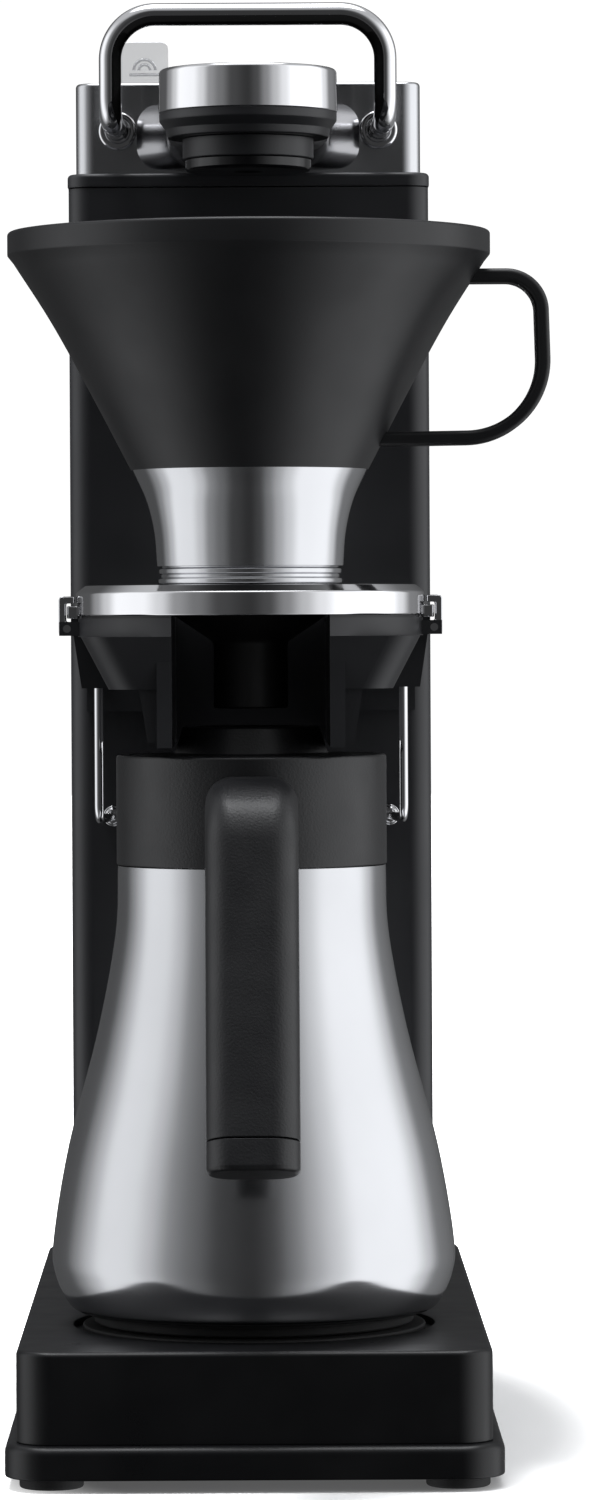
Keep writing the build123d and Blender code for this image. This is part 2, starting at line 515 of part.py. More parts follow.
with BuildPart() as nozzle_arm:
    # flared root on the hood, then a level duct into the head
    for flare, arm_y in ((ARM_FLARE, 0), (2.4, -3.6), (0, -9)):
        with BuildSketch(Plane((0, HOOD_FRONT + arm_y, ARM_Z + flare / 4), x_dir=(1, 0, 0),
                               z_dir=(0, -1, 0))):
            RectangleRounded(ARM_W + 2 * flare, ARM_HIGH - ARM_LOW + flare / 2, 6)
    loft()
    with BuildSketch(Plane((0, HOOD_FRONT - 9, ARM_Z), x_dir=(1, 0, 0), z_dir=(0, -1, 0))):
        RectangleRounded(ARM_W, ARM_HIGH - ARM_LOW, 6)
    extrude(amount=HOOD_FRONT - 9 - BREW_Y)
    # the head stands in the arm's round end
    revolve(ring_outline(BREW_PLANE, CAP_R, 0, ARM_LOW - 5, ARM_HIGH + 5), axis=BREW_AXIS,
            mode=Mode.SUBTRACT)
    with BuildSketch(Plane.XZ.offset(-HOOD_FRONT)):
        with Locations((0, ARM_Z)):
            Circle(HOSE_R)
    extrude(amount=HOOD_FRONT - BREW_Y, mode=Mode.SUBTRACT)
    with Locations((0, BREW_Y - CAP_R, ARM_Z)):
        Box(3 * CAP_R, 2 * CAP_R, 3 * CAP_R, mode=Mode.SUBTRACT)
save(nozzle_arm.part, "nozzle_arm")

with BuildPart() as nozzle_cap:
    revolve(outline(BREW_PLANE, (0, CAP_LOW), (CAP_R, CAP_LOW), (CAP_R, CAP_LOW + 0.6),
                    (CAP_R - 0.3, CAP_HIGH - 0.8),
                    (CAP_R - 1.1, CAP_HIGH), (0, CAP_HIGH)), axis=BREW_AXIS)
    revolve(ring_outline(BREW_PLANE, CAP_R - 1.5, 0, CAP_LOW, CAP_HIGH - 1.5), axis=BREW_AXIS,
            mode=Mode.SUBTRACT)
save(nozzle_cap.part, "nozzle_cap")

COLLAR_STEP = NOZZLE_LOW + 8.5
with BuildPart() as nozzle_collar:
    revolve(outline(BREW_PLANE, (BARREL_R, COLLAR_STEP), (CAP_R - 2.4, COLLAR_STEP),
                    (CAP_R - 1.8, COLLAR_STEP + 2.2),
                    (CAP_R, COLLAR_STEP + 4.4), (CAP_R, CAP_LOW), (CAP_R - 1.5, CAP_LOW),
                    (CAP_R - 1.5, CAP_LOW + 4), (BARREL_R, CAP_LOW + 4)), axis=BREW_AXIS)
    with BuildSketch(Plane.XZ.offset(-BREW_Y)):
        with Locations((0, ARM_Z)):
            Circle(INLET_R)
    extrude(amount=-CAP_R, mode=Mode.SUBTRACT)
save(nozzle_collar.part, "nozzle_collar")

with BuildPart() as nozzle_barrel:
    revolve(outline(BREW_PLANE, (BARREL_R - 2, NOZZLE_LOW + 3), (BARREL_R, NOZZLE_LOW + 3),
                    (BARREL_R, CAP_LOW + 2),
                    (BARREL_R - 2, CAP_LOW + 2)), axis=BREW_AXIS)
    with BuildSketch(Plane.XZ.offset(-BREW_Y)):
        with Locations((0, ARM_Z)):
            Circle(INLET_R)
    extrude(amount=-CAP_R, mode=Mode.SUBTRACT)
save(nozzle_barrel.part, "nozzle_barrel")

with BuildPart() as nozzle_tip:
    revolve(outline(BREW_PLANE, (1.2, NOZZLE_LOW + 0.8), (4, NOZZLE_LOW), (TIP_R - 1, NOZZLE_LOW),
                    (TIP_R, NOZZLE_LOW + 0.8), (TIP_R, NOZZLE_LOW + 3), (BARREL_R - 2, NOZZLE_LOW + 3),
                    (BARREL_R - 2, NOZZLE_LOW + 5), (1.2, NOZZLE_LOW + 5)), axis=BREW_AXIS)
save(nozzle_tip.part, "nozzle_tip")

# ---- holder: ring, cradle, funnel, clasps and stays ------------------------------------------
CRADLE_TOP = RING_LOW
ARM_SIDE = CRADLE_R + 2.1
ARM_TAPER = 2.7
STAY_X = ARM_SIDE - ARM_TAPER - 3.8
STAY_FOOT_X = STAY_X - STAY_LEAN
BAND_LOW = CRADLE_TOP - CRADLE_BAND
STAY_HOLE = 3.0
PIN_REACH = CLASP_W / 2 + FIT + 2.5

with BuildPart() as holder_ring:
    revolve(outline(BREW_PLANE, (SOCKET_R, RING_BAND_TOP), (RING_R - RING_WALL, RING_BAND_TOP),
                    (RING_R - RING_WALL, RING_LOW), (RING_R, RING_LOW), (RING_R, RING_BAND_TOP - 0.8),
                    (RING_R - 1.2, RING_BAND_TOP + 0.6), (RING_R - 2.4, RING_TOP), (SOCKET_R, RING_TOP)),
            axis=BREW_AXIS)
save(holder_ring.part, "holder_ring")

with BuildPart() as holder_cradle:
    # round top band with a rebate that leaves a shadow line under the chrome ring
    revolve(outline(BREW_PLANE, (FUNNEL_R, BAND_LOW), (CRADLE_R, BAND_LOW), (CRADLE_R, CRADLE_TOP - 0.6),
                    (CRADLE_R - 0.9, CRADLE_TOP - 0.6), (CRADLE_R - 0.9, CRADLE_TOP),
                    (FUNNEL_R, CRADLE_TOP)),
            axis=BREW_AXIS)
    # tapering tray under the band
    for tray_z, tray_half in ((BAND_LOW, CRADLE_R - 1.5), (CRADLE_LOW, CRADLE_R - 8.3)):
        with BuildSketch(Plane((0, BREW_Y, tray_z))):
            RectangleRounded(2 * tray_half, 1.72 * tray_half, 8)
    loft()
    for tray_z, tray_half in ((BAND_LOW, CRADLE_R - 4.5), (CRADLE_LOW + 3, CRADLE_R - 10.5)):
        with BuildSketch(Plane((0, BREW_Y, tray_z))):
            RectangleRounded(2 * tray_half, 1.72 * tray_half, 6)
    loft(mode=Mode.SUBTRACT)
    # side arms back to the column
    for side in (-1, 1):
        for arm_z, arm_out in ((CRADLE_TOP - 0.6, ARM_SIDE), (CRADLE_LOW, ARM_SIDE - ARM_TAPER)):
            with BuildSketch(Plane((side * (arm_out - 3.5), (COLUMN_FRONT - 60) / 2, arm_z))):
                Rectangle(7, 60 + COLUMN_FRONT)
        loft()
    # walls and tapered ribs of the mouth that the carafe's lid stands in
    for side in (-1, 1):
        with Locations((side * (MOUTH_HALF + MOUTH_WALL / 2), (BREW_Y - 34 + COLUMN_FRONT) / 2,
                        (CRADLE_TOP + MOUTH_LOW) / 2)):
            Box(MOUTH_WALL, COLUMN_FRONT - BREW_Y + 34, CRADLE_TOP - MOUTH_LOW)
        with BuildSketch(Plane.XZ.offset(-BREW_Y + 30)):
            with BuildLine():
                Polyline((side * (MOUTH_HALF + MOUTH_WALL - 0.5), CRADLE_LOW + 2),
                         (side * (MOUTH_HALF + 8.6), CRADLE_LOW + 2),
                         (side * (MOUTH_HALF + 6.2), MOUTH_LOW + 1.3),
                         (side * (MOUTH_HALF + MOUTH_WALL - 0.5), MOUTH_LOW + 1.3),
                         close=True)
            make_face()
        extrude(amount=-52)
    # back web against the column
    with Locations((0, COLUMN_FRONT - 3, (CRADLE_TOP - 0.6 + MOUTH_LOW + 8) / 2)):
        Box(2 * (ARM_SIDE - ARM_TAPER), 6, CRADLE_TOP - 0.6 - MOUTH_LOW - 8)
    # the open mouth
    with Locations((0, BREW_Y - 5, (CRADLE_TOP + MOUTH_LOW) / 2)):
        Box(2 * MOUTH_HALF, 100, CRADLE_TOP - MOUTH_LOW + 2, mode=Mode.SUBTRACT)
    # clasp ears either side of each clasp
    for side in (-1, 1):
        with Locations(*[(side * (CRADLE_R + 1.2), BREW_Y + step * (CLASP_W / 2 + FIT + 1.25),
                          (CLASP_LOW + CLASP_PIN_Z + 1.8) / 2) for step in (-1, 1)]):
            Box(7, 2.5, CLASP_PIN_Z + 1.8 - CLASP_LOW)
    with Locations(*[Location((side * CLASP_PIN_X, BREW_Y, CLASP_PIN_Z), (90, 0, 0)) for side in (-1, 1)]):
        Cylinder(CLASP_PIN_R, 2 * PIN_REACH + 1, mode=Mode.SUBTRACT)
    with BuildSketch(Plane.XY.offset(CRADLE_LOW)):
        with Locations((-STAY_X, STAY_Y), (STAY_X, STAY_Y)):
            Circle(STAY_R + RUN)
    extrude(amount=STAY_HOLE, mode=Mode.SUBTRACT)
save(holder_cradle.part, "holder_cradle")

with BuildPart() as drip_funnel:
    revolve(outline(BREW_PLANE, (FUNNEL_R, RING_BAND_TOP), (FUNNEL_R, RING_BAND_TOP - 1.4),
                    (19.6, CRADLE_TOP),
                    (SPOUT_R, CRADLE_TOP - 6.8), (SPOUT_R, SPOUT_LOW), (SPOUT_R - FUNNEL_WALL, SPOUT_LOW),
                    (SPOUT_R - FUNNEL_WALL, CRADLE_TOP - 6.2), (18.0, CRADLE_TOP + 0.9),
                    (FUNNEL_R - FUNNEL_WALL, RING_BAND_TOP - 0.6), (FUNNEL_R - FUNNEL_WALL, RING_BAND_TOP)),
            axis=BREW_AXIS)
save(drip_funnel.part, "drip_funnel")

for clasp_name, side in (("clasp_left", -1), ("clasp_right", 1)):
    with BuildPart() as clasp:
        with BuildSketch(Plane.XZ.offset(-BREW_Y + CLASP_W / 2)):
            with BuildLine():
                Polyline((side * CLASP_IN, CLASP_HIGH), (side * CLASP_OUT, CLASP_HIGH),
                         (side * CLASP_OUT, CLASP_LOW), (side * CLASP_IN, CLASP_LOW),
                         (side * CLASP_IN, CLASP_PIN_Z + 1.8),
                         (side * (CLASP_OUT - CLASP_WALL), CLASP_PIN_Z + 1.8),
                         (side * (CLASP_OUT - CLASP_WALL), CLASP_HIGH - CLASP_WALL),
                         (side * CLASP_IN, CLASP_HIGH - CLASP_WALL), close=True)
            make_face()
        extrude(amount=-CLASP_W)
        fillet(clasp.edges().filter_by(Axis.Y).group_by(Axis.Z)[0], 0.8)
        with Locations(Location((side * CLASP_PIN_X, BREW_Y, CLASP_PIN_Z), (90, 0, 0))):
            Cylinder(CLASP_PIN_R + RUN, 2 * CLASP_W, mode=Mode.SUBTRACT)
    save(clasp.part, clasp_name)

with BuildPart() as clasp_pins:
    with Locations(*[Location((side * CLASP_PIN_X, BREW_Y, CLASP_PIN_Z), (90, 0, 0)) for side in (-1, 1)]):
        Cylinder(CLASP_PIN_R, 2 * PIN_REACH)
save(clasp_pins.part, "clasp_pins")

with BuildPart() as stay_rods:
    for side in (-1, 1):
        with BuildLine() as stay_path:
            FilletPolyline((side * STAY_X, STAY_Y, CRADLE_LOW + STAY_HOLE), (side * STAY_X, STAY_Y, STAY_Z),
                           (side * STAY_FOOT_X, COLUMN_FRONT - 1, STAY_Z), radius=STAY_BEND)
        with BuildSketch(Plane((side * STAY_X, STAY_Y, CRADLE_LOW + STAY_HOLE))):
            Circle(STAY_R)
        sweep(path=stay_path.wires()[0])
save(stay_rods.part, "stay_rods")

with BuildPart() as stay_ferrules:
    for side in (-1, 1):
        ferrule_plane = Plane((side * STAY_FOOT_X, COLUMN_FRONT, STAY_Z), x_dir=(1, 0, 0), z_dir=(0, 0, 1))
        revolve(outline(ferrule_plane, (0, 0), (2.8, 0), (2.8, -1.6), (2.2, -1.6), (2.2, -3.4),
                        (STAY_R + 0.3, -3.4),
                        (STAY_R + 0.3, -0.6), (0, -0.6)),
                axis=Axis((side * STAY_FOOT_X, 0, STAY_Z), (0, 1, 0)))
save(stay_ferrules.part, "stay_ferrules")

# ---- water tank on its dock -------------------------------------------------------------------
VALVE_R = 6.0
TANK_LOW = DOCK_TOP + FIT
TANK_D = TANK_BACK - TANK_FRONT
HINGE_Y = TANK_BACK - HINGE_R
HINGE_Z = TANK_TOP + FIT + LID_T / 2

with BuildPart() as tank_dock:
    extrude(rounded(DECK, DOCK_W, DOCK_BACK - DOCK_FRONT, TANK_R, (DOCK_FRONT + DOCK_BACK) / 2),
            amount=DOCK_TOP - DECK)
    extrude(rounded(DECK, DOCK_W - 6, DOCK_BACK - DOCK_FRONT - 6, TANK_R - 3, (DOCK_FRONT + DOCK_BACK) / 2),
            amount=DOCK_TOP - DECK - 4, mode=Mode.SUBTRACT)
    with Locations((0, TANK_Y, (DECK + DOCK_TOP) / 2)):
        Cylinder(VALVE_R + 5, DOCK_TOP - DECK)
    with BuildSketch(Plane.XY.offset(DECK)):
        with Locations((0, TANK_Y)):
            Circle(VALVE_R + FIT)
    extrude(amount=DOCK_TOP - DECK, mode=Mode.SUBTRACT)
    # spigot for the hose with the post that lifts the tank's valve
    with BuildSketch(Plane.XY.offset(DECK + 2)):
        with Locations((0, TANK_Y)):
            Circle(VALVE_R + 1)
            Circle(HOSE_R, mode=Mode.SUBTRACT)
    extrude(amount=6)
save(tank_dock.part, "tank_dock")

with BuildPart() as tank_body:
    extrude(rounded(TANK_LOW, TANK_W, TANK_D, TANK_R, TANK_Y), amount=TANK_TOP - TANK_LOW)
    extrude(rounded(TANK_LOW + TANK_WALL, TANK_W - 2 * TANK_WALL, TANK_D - 2 * TANK_WALL,
                    TANK_R - TANK_WALL, TANK_Y),
            amount=TANK_TOP, mode=Mode.SUBTRACT)
    with Locations((0, TANK_Y, TANK_LOW)):
        Cylinder(VALVE_R - 1.5, 4 * TANK_WALL, mode=Mode.SUBTRACT)
    # hinge ears at the back of the rim
    for side in (-1, 1):
        with Locations((side * (HINGE_W / 2 + FIT + 2), HINGE_Y, (TANK_TOP + HINGE_Z - 6) / 2)):
            Box(4, 2 * HINGE_R, HINGE_Z - TANK_TOP + 6)
        with Locations(Location((side * (HINGE_W / 2 + FIT + 2), HINGE_Y, HINGE_Z), (0, 90, 0))):
            Cylinder(HINGE_R, 4)
    with Locations(Location((0, HINGE_Y, HINGE_Z), (0, 90, 0))):
        Cylinder(HINGE_PIN_R, HINGE_W + 20, mode=Mode.SUBTRACT)
save(tank_body.part, "tank_body")

with BuildPart() as tank_valve:
    valve_plane = Plane((0, TANK_Y, TANK_LOW), x_dir=(1, 0, 0), z_dir=(0, -1, 0))
    revolve(outline(valve_plane, (0, -9), (VALVE_R - 2.5, -9), (VALVE_R - 2.5, -2), (VALVE_R - 1.5, 0),
                    (VALVE_R - 1.5, TANK_WALL), (VALVE_R + 2, TANK_WALL), (VALVE_R + 2, TANK_WALL + 2),
                    (0, TANK_WALL + 6)), axis=Axis((0, TANK_Y, 0), (0, 0, 1)))
save(tank_valve.part, "tank_valve")

with BuildPart() as tank_lid:
    lid_front = TANK_FRONT + 0.5
    lid_back = HINGE_Y - HINGE_R - FIT
    extrude(rounded(TANK_TOP + FIT, TANK_W - 1, lid_back - lid_front, 4, (lid_front + lid_back) / 2),
            amount=LID_T)
    # knuckle
    with Locations(Location((0, HINGE_Y, HINGE_Z), (0, 90, 0))):
        Cylinder(LID_T / 2, HINGE_W)
    with Locations((0, (HINGE_Y + lid_back) / 2 - 1, HINGE_Z)):
        Box(HINGE_W, HINGE_Y - lid_back + 2, LID_T)
    with Locations(Location((0, HINGE_Y, HINGE_Z), (0, 90, 0))):
        Cylinder(HINGE_PIN_R + RUN, HINGE_W + 20, mode=Mode.SUBTRACT)
    # upright finger tab
    with BuildSketch(Plane((0, TAB_Y + TAB_T / 2, TANK_TOP + FIT), x_dir=(1, 0, 0), z_dir=(0, -1, 0))):
        with Locations((TAB_X, TAB_H / 2)):
            RectangleRounded(TAB_W, TAB_H, 1.8)
    extrude(amount=TAB_T)
save(tank_lid.part, "tank_lid")

with BuildPart() as tank_lid_pin:
    with Locations(Location((0, HINGE_Y, HINGE_Z), (0, 90, 0))):
        Cylinder(HINGE_PIN_R, HINGE_W + 2 * FIT + 8)
save(tank_lid_pin.part, "tank_lid_pin")

# ---- dripper ----------------------------------------------------------------------------------
def cone_section(inset):
    """Half section of the dripper's outer form, or of its inside with an inset."""
    floor = CONE_LOW + 2 * inset if inset else CONE_LOW
    with BuildSketch(BREW_PLANE) as face:
        with BuildLine():
            flare = Spline([(r - inset, z) for r, z in FLARE[:-1]] + [(FLARE[-1][0] - inset, floor)])
            Polyline(flare @ 0, (RIM_R - inset, RIM_LOW), (RIM_R - inset, RIM_TOP + inset),
                     (0, RIM_TOP + inset),
                     (0, floor), flare @ 1)
        make_face()
    return face.sketch


with BuildPart() as dripper_cone:
    revolve(cone_section(0), axis=BREW_AXIS)
    fillet(dripper_cone.edges().filter_by(GeomType.CIRCLE).group_by(Axis.Z)[-1], 1.0)
    revolve(cone_section(CONE_WALL), axis=BREW_AXIS, mode=Mode.SUBTRACT)
    revolve(ring_outline(BREW_PLANE, NECK_R, NECK_R - NECK_WALL, NECK_LOW, CONE_LOW + 1), axis=BREW_AXIS)
    revolve(ring_outline(BREW_PLANE, NECK_R - NECK_WALL, 0, NECK_LOW + 2, CONE_LOW + 8), axis=BREW_AXIS,
            mode=Mode.SUBTRACT)
    revolve(ring_outline(BREW_PLANE, NECK_R - NECK_WALL, OUTLET_R, NECK_LOW, NECK_LOW + 2), axis=BREW_AXIS)
save(dripper_cone.part, "dripper_cone")

LOOP_X = LOOP_OUT - LOOP_T / 2
with BuildPart() as dripper_handle:
    loop_plane = Plane((0, BREW_Y, 0), x_dir=(1, 0, 0), z_dir=(0, -1, 0))
    with BuildLine(loop_plane) as loop_path:
        FilletPolyline((50, LOOP_TOP - LOOP_T / 2), (LOOP_X - 1.2, LOOP_TOP - LOOP_T / 2),
                       (LOOP_X, LOOP_LOW + LOOP_T / 2 + 1), (30, LOOP_LOW + LOOP_T / 2), radius=[11, 20])
    with BuildSketch(Plane((50, BREW_Y, LOOP_TOP - LOOP_T / 2), x_dir=(0, 1, 0), z_dir=(1, 0, 0))):
        RectangleRounded(LOOP_W, LOOP_T, LOOP_T * 0.48)
    sweep(path=loop_path.wires()[0])
    revolve(cone_section(0), axis=BREW_AXIS, mode=Mode.SUBTRACT)
save(dripper_handle.part, "dripper_handle")

BASE_RING_TOP = SLEEVE[-1][1]
with BuildPart() as dripper_collar:
    with BuildSketch(BREW_PLANE):
        with BuildLine():
            outer_curve = Spline(SLEEVE)
            inner_curve = Spline([(r - 1.2, z) for r, z in SLEEVE])
            Line(outer_curve @ 0, inner_curve @ 0)
            Line(outer_curve @ 1, inner_curve @ 1)
        make_face()
    revolve(axis=BREW_AXIS)
save(dripper_collar.part, "dripper_collar")

with BuildPart() as dripper_base_ring:
    spigot_low = RING_TOP - 5.5
    rest_z = RING_TOP + FIT
    revolve(outline(BREW_PLANE, (NECK_R + 0.6, BASE_RING_TOP), (NECK_R + 0.6, BASE_RING_TOP - 0.7),
                    (NECK_R + 0.2, BASE_RING_TOP - 0.7), (NECK_R + 0.2, rest_z + 0.4),
                    (NECK_R + 0.6, rest_z),
                    (SOCKET_R - FIT, rest_z), (SOCKET_R - FIT, spigot_low),
                    (SOCKET_R - FIT - 2, spigot_low),
                    (SOCKET_R - FIT - 2, rest_z + 2), (OUTLET_R, rest_z + 3.5), (OUTLET_R, NECK_LOW),
                    (NECK_R, NECK_LOW), (NECK_R, BASE_RING_TOP)), axis=BREW_AXIS)
save(dripper_base_ring.part, "dripper_base_ring")

# ---- carafe -----------------------------------------------------------------------------------
LINER_NECK_R = NECK_TOP_R - VACUUM_GAP
COLLAR_LIP = COLLAR_TOP - 2.8
LINER_TOP = COLLAR_LIP - 1.6


def bulge_section(inset, floor, floor_r, top=SHOULDER_Z):
    """Half section of the carafe's body, inset from its outer skin."""
    with BuildSketch(BREW_PLANE) as face:
        with BuildLine():
            rise = inset / (SHOULDER_Z - CARAFE_BASE)
            skin = Spline([(r - inset, z + rise * (SHOULDER_Z - z)) for r, z in BULGE] + [(floor_r, floor)])
            Polyline(skin @ 1, (0, floor), (0, top), (NECK_TOP_R - inset, top))
            if top > SHOULDER_Z:
                Line((NECK_TOP_R - inset, top), skin @ 0)
        make_face()
    return face.sketch


with BuildPart() as carafe_shell:
    revolve(bulge_section(0, CARAFE_BASE, FOOT_OUT), axis=BREW_AXIS)
    revolve(bulge_section(CARAFE_WALL, CARAFE_BASE + CARAFE_WALL, FOOT_OUT - 1), axis=BREW_AXIS,
            mode=Mode.SUBTRACT)
save(carafe_shell.part, "carafe_shell")

with BuildPart() as carafe_liner:
    liner_base = CARAFE_BASE + VACUUM_GAP
    revolve(bulge_section(VACUUM_GAP, liner_base, FOOT_OUT - 4, LINER_TOP), axis=BREW_AXIS)
    revolve(bulge_section(VACUUM_GAP + CARAFE_WALL, liner_base + CARAFE_WALL, FOOT_OUT - 5, LINER_TOP + 1),
            axis=BREW_AXIS, mode=Mode.SUBTRACT)
save(carafe_liner.part, "carafe_liner")

with BuildPart() as carafe_foot:
    revolve(ring_outline(BREW_PLANE, FOOT_OUT - 1, FOOT_OUT - 7, CARAFE_LOW, CARAFE_BASE), axis=BREW_AXIS)
save(carafe_foot.part, "carafe_foot")

with BuildPart() as carafe_collar:
    revolve(outline(BREW_PLANE, (LINER_NECK_R + RUN, SHOULDER_Z), (COLLAR_R, SHOULDER_Z),
                    (COLLAR_R, COLLAR_TOP - 0.6),
                    (COLLAR_R - 0.6, COLLAR_TOP), (LID_DISC_R + FIT, COLLAR_TOP),
                    (LID_DISC_R + FIT, COLLAR_LIP),
                    (LINER_NECK_R - CARAFE_WALL, COLLAR_LIP), (LINER_NECK_R - CARAFE_WALL, LINER_TOP),
                    (LINER_NECK_R + RUN, LINER_TOP)), axis=BREW_AXIS)
    # keyway for the handle's root
    with Locations((0, BREW_Y - COLLAR_R, (SHOULDER_Z + COLLAR_LIP) / 2)):
        Box(KEY_W, COLLAR_R, COLLAR_LIP - SHOULDER_Z, mode=Mode.SUBTRACT)
    revolve(ring_outline(BREW_PLANE, LINER_NECK_R + 1.2, LINER_NECK_R + RUN, SHOULDER_Z, LINER_TOP),
            axis=BREW_AXIS)
save(carafe_collar.part, "carafe_collar")

HANDLE_START = (0, BREW_Y - COLLAR_R + 1.5, HANDLE_ROOT_Z)
HANDLE_ELBOW = (0, BREW_Y - HANDLE_OUT, HANDLE_ROOT_Z)
HANDLE_END = (0, BREW_Y - HANDLE_END_R, HANDLE_END_Z)
HANDLE_RUN = Vector(*HANDLE_END) - Vector(*HANDLE_ELBOW)
HANDLE_BREAK = tuple(Vector(*HANDLE_END) - HANDLE_RUN.normalized() * HANDLE_SEAM)

with BuildPart() as carafe_handle:
    # root block, flush with the collar
    revolve(ring_outline(BREW_PLANE, COLLAR_R, LINER_NECK_R + 1.2, SHOULDER_Z, COLLAR_LIP), axis=BREW_AXIS)
    with Locations((0, BREW_Y - COLLAR_R, (SHOULDER_Z + COLLAR_LIP) / 2)):
        Box(KEY_W - 4 * RUN, COLLAR_R, COLLAR_LIP - SHOULDER_Z, mode=Mode.INTERSECT)
    with BuildLine() as handle_path:
        FilletPolyline(HANDLE_START, HANDLE_ELBOW, HANDLE_BREAK, radius=12)
    with BuildSketch(Plane(HANDLE_START, x_dir=(1, 0, 0), z_dir=(0, -1, 0))):
        RectangleRounded(HANDLE_W, HANDLE_T, 6.8)
    sweep(path=handle_path.wires()[0])
save(carafe_handle.part, "carafe_handle")

with BuildPart() as carafe_handle_cap:
    with BuildSketch(Plane(HANDLE_BREAK, x_dir=(1, 0, 0), z_dir=HANDLE_RUN)):
        RectangleRounded(HANDLE_W, HANDLE_T, 6.8)
    extrude(amount=HANDLE_SEAM)
    fillet(carafe_handle_cap.faces().sort_by(Axis.Z)[0].edges(), 1.2)
save(carafe_handle_cap.part, "carafe_handle_cap")

SEAL_LOW = LID_PLUG_LOW + 3
SEAL_GROOVE = 1.5
PLUG_R = LINER_NECK_R - CARAFE_WALL - 1.3
with BuildPart() as carafe_lid:
    disc_low = COLLAR_LIP + FIT
    revolve(outline(BREW_PLANE, (LID_HOLE_R, COLLAR_TOP - 4), (LID_HOLE_R, COLLAR_TOP),
                    (LID_DISC_R, COLLAR_TOP),
                    (LID_DISC_R, disc_low), (PLUG_R, disc_low), (PLUG_R, SEAL_LOW + 3),
                    (PLUG_R - SEAL_GROOVE, SEAL_LOW + 3), (PLUG_R - SEAL_GROOVE, SEAL_LOW),
                    (PLUG_R, SEAL_LOW),
                    (PLUG_R, LID_PLUG_LOW), (PLUG_R - 4, LID_PLUG_LOW), (PLUG_R - 4, COLLAR_TOP - 4)),
            axis=BREW_AXIS)
save(carafe_lid.part, "carafe_lid")

with BuildPart() as carafe_lid_knob:
    revolve(outline(BREW_PLANE, (LID_HOLE_R, COLLAR_TOP), (LID_HOLE_R, KNOB_TOP - 1),
                    (KNOB_TOP_R - 3, KNOB_TOP - 1),
                    (KNOB_TOP_R - 1.5, KNOB_TOP), (KNOB_TOP_R - 0.8, KNOB_TOP),
                    (KNOB_TOP_R, KNOB_TOP - 0.8),
                    (KNOB_LOW_R, COLLAR_TOP)),
            axis=BREW_AXIS)
save(carafe_lid_knob.part, "carafe_lid_knob")

with BuildPart() as carafe_lid_seal:
    revolve(ring_outline(BREW_PLANE, LINER_NECK_R - CARAFE_WALL - FIT, PLUG_R - SEAL_GROOVE, SEAL_LOW,
                         SEAL_LOW + 3),
            axis=BREW_AXIS)
save(carafe_lid_seal.part, "carafe_lid_seal")
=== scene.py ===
import json
import math

import bmesh
import bpy
from mathutils import Matrix, Vector


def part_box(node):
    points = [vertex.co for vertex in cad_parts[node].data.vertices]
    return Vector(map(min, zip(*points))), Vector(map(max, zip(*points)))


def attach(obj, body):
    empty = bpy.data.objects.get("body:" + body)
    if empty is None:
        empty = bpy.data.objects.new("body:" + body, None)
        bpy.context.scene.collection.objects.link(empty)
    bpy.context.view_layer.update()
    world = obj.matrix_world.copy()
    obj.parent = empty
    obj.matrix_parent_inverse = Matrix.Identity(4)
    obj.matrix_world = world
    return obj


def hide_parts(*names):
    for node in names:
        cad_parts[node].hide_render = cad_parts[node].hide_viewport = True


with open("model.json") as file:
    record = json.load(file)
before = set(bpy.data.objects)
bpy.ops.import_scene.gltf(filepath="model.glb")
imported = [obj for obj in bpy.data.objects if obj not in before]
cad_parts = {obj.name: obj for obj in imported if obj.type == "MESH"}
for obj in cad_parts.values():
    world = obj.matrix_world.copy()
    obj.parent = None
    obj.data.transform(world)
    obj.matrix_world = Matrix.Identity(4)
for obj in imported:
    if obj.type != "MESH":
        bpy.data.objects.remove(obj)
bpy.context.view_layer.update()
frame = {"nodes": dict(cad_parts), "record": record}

MM = 0.001
ROUND = 160            # faces round a turned piece
CORNER_STEPS = 6       # faces round a softened corner

# The brewing axis (carafe, dripper, ring, nozzle) and the places measured from it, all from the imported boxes.
ring_low, ring_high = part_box("holder_ring")
AXIS_X = (ring_low.x + ring_high.x) / 2
AXIS_Y = (ring_low.y + ring_high.y) / 2
BREW_Y = -68.0         # the brewing axis in front of the middle of the base, in millimetres


def place(x, y, z):
    """A point in millimetres from the middle of the base at table height, in the row's metres."""
    return Vector((x * MM + AXIS_X, (y - BREW_Y) * MM + AXIS_Y, z * MM))


def level(node, top=True):
    """The height of a node's top or bottom in millimetres."""
    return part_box(node)[1 if top else 0].z / MM


# ---- camera, floor and light ------------------------------------------------------------------
CAMERA_AHEAD, CAMERA_HEIGHT, CAMERA_ROLL = 1635.5, 213.8, 0.3      # millimetres and degrees
CAMERA_LENS, CAMERA_SENSOR, CAMERA_SHIFT_X, CAMERA_SHIFT_Y = 146.4, 36.0, 0.0323, -0.084

# The light tent round the brewer: brightness by azimuth (0 is the front, + is the right, in degrees).
TENT = [(-180, 0.08), (-134, 0.10), (-122, 0.34), (-110, 0.7), (-98, 1.2), (-76, 1.15), (-62, 0.8),
        (-50, 0.34), (-36, 0.2), (-20, 0.07), (0, 0.04), (12, 0.08), (24, 0.28), (36, 0.6), (48, 0.95),
        (64, 1.45), (104, 1.5), (118, 0.9), (132, 0.25), (180, 0.08)]
TENT_MOST = 1.5
TENT_TINT = (0.965, 0.978, 1.0)
TOP_BRIGHT = 0.55
# Each is a range of the direction's upward part and the values that it maps to.
TENT_LOWER, TENT_UPPER = (-0.98, -0.7, 0.12, 1.0), (0.45, 0.8, 0.0, 1.0)
TENT_OVERHEAD = (0.88, 0.97, 0.0, 4.5)

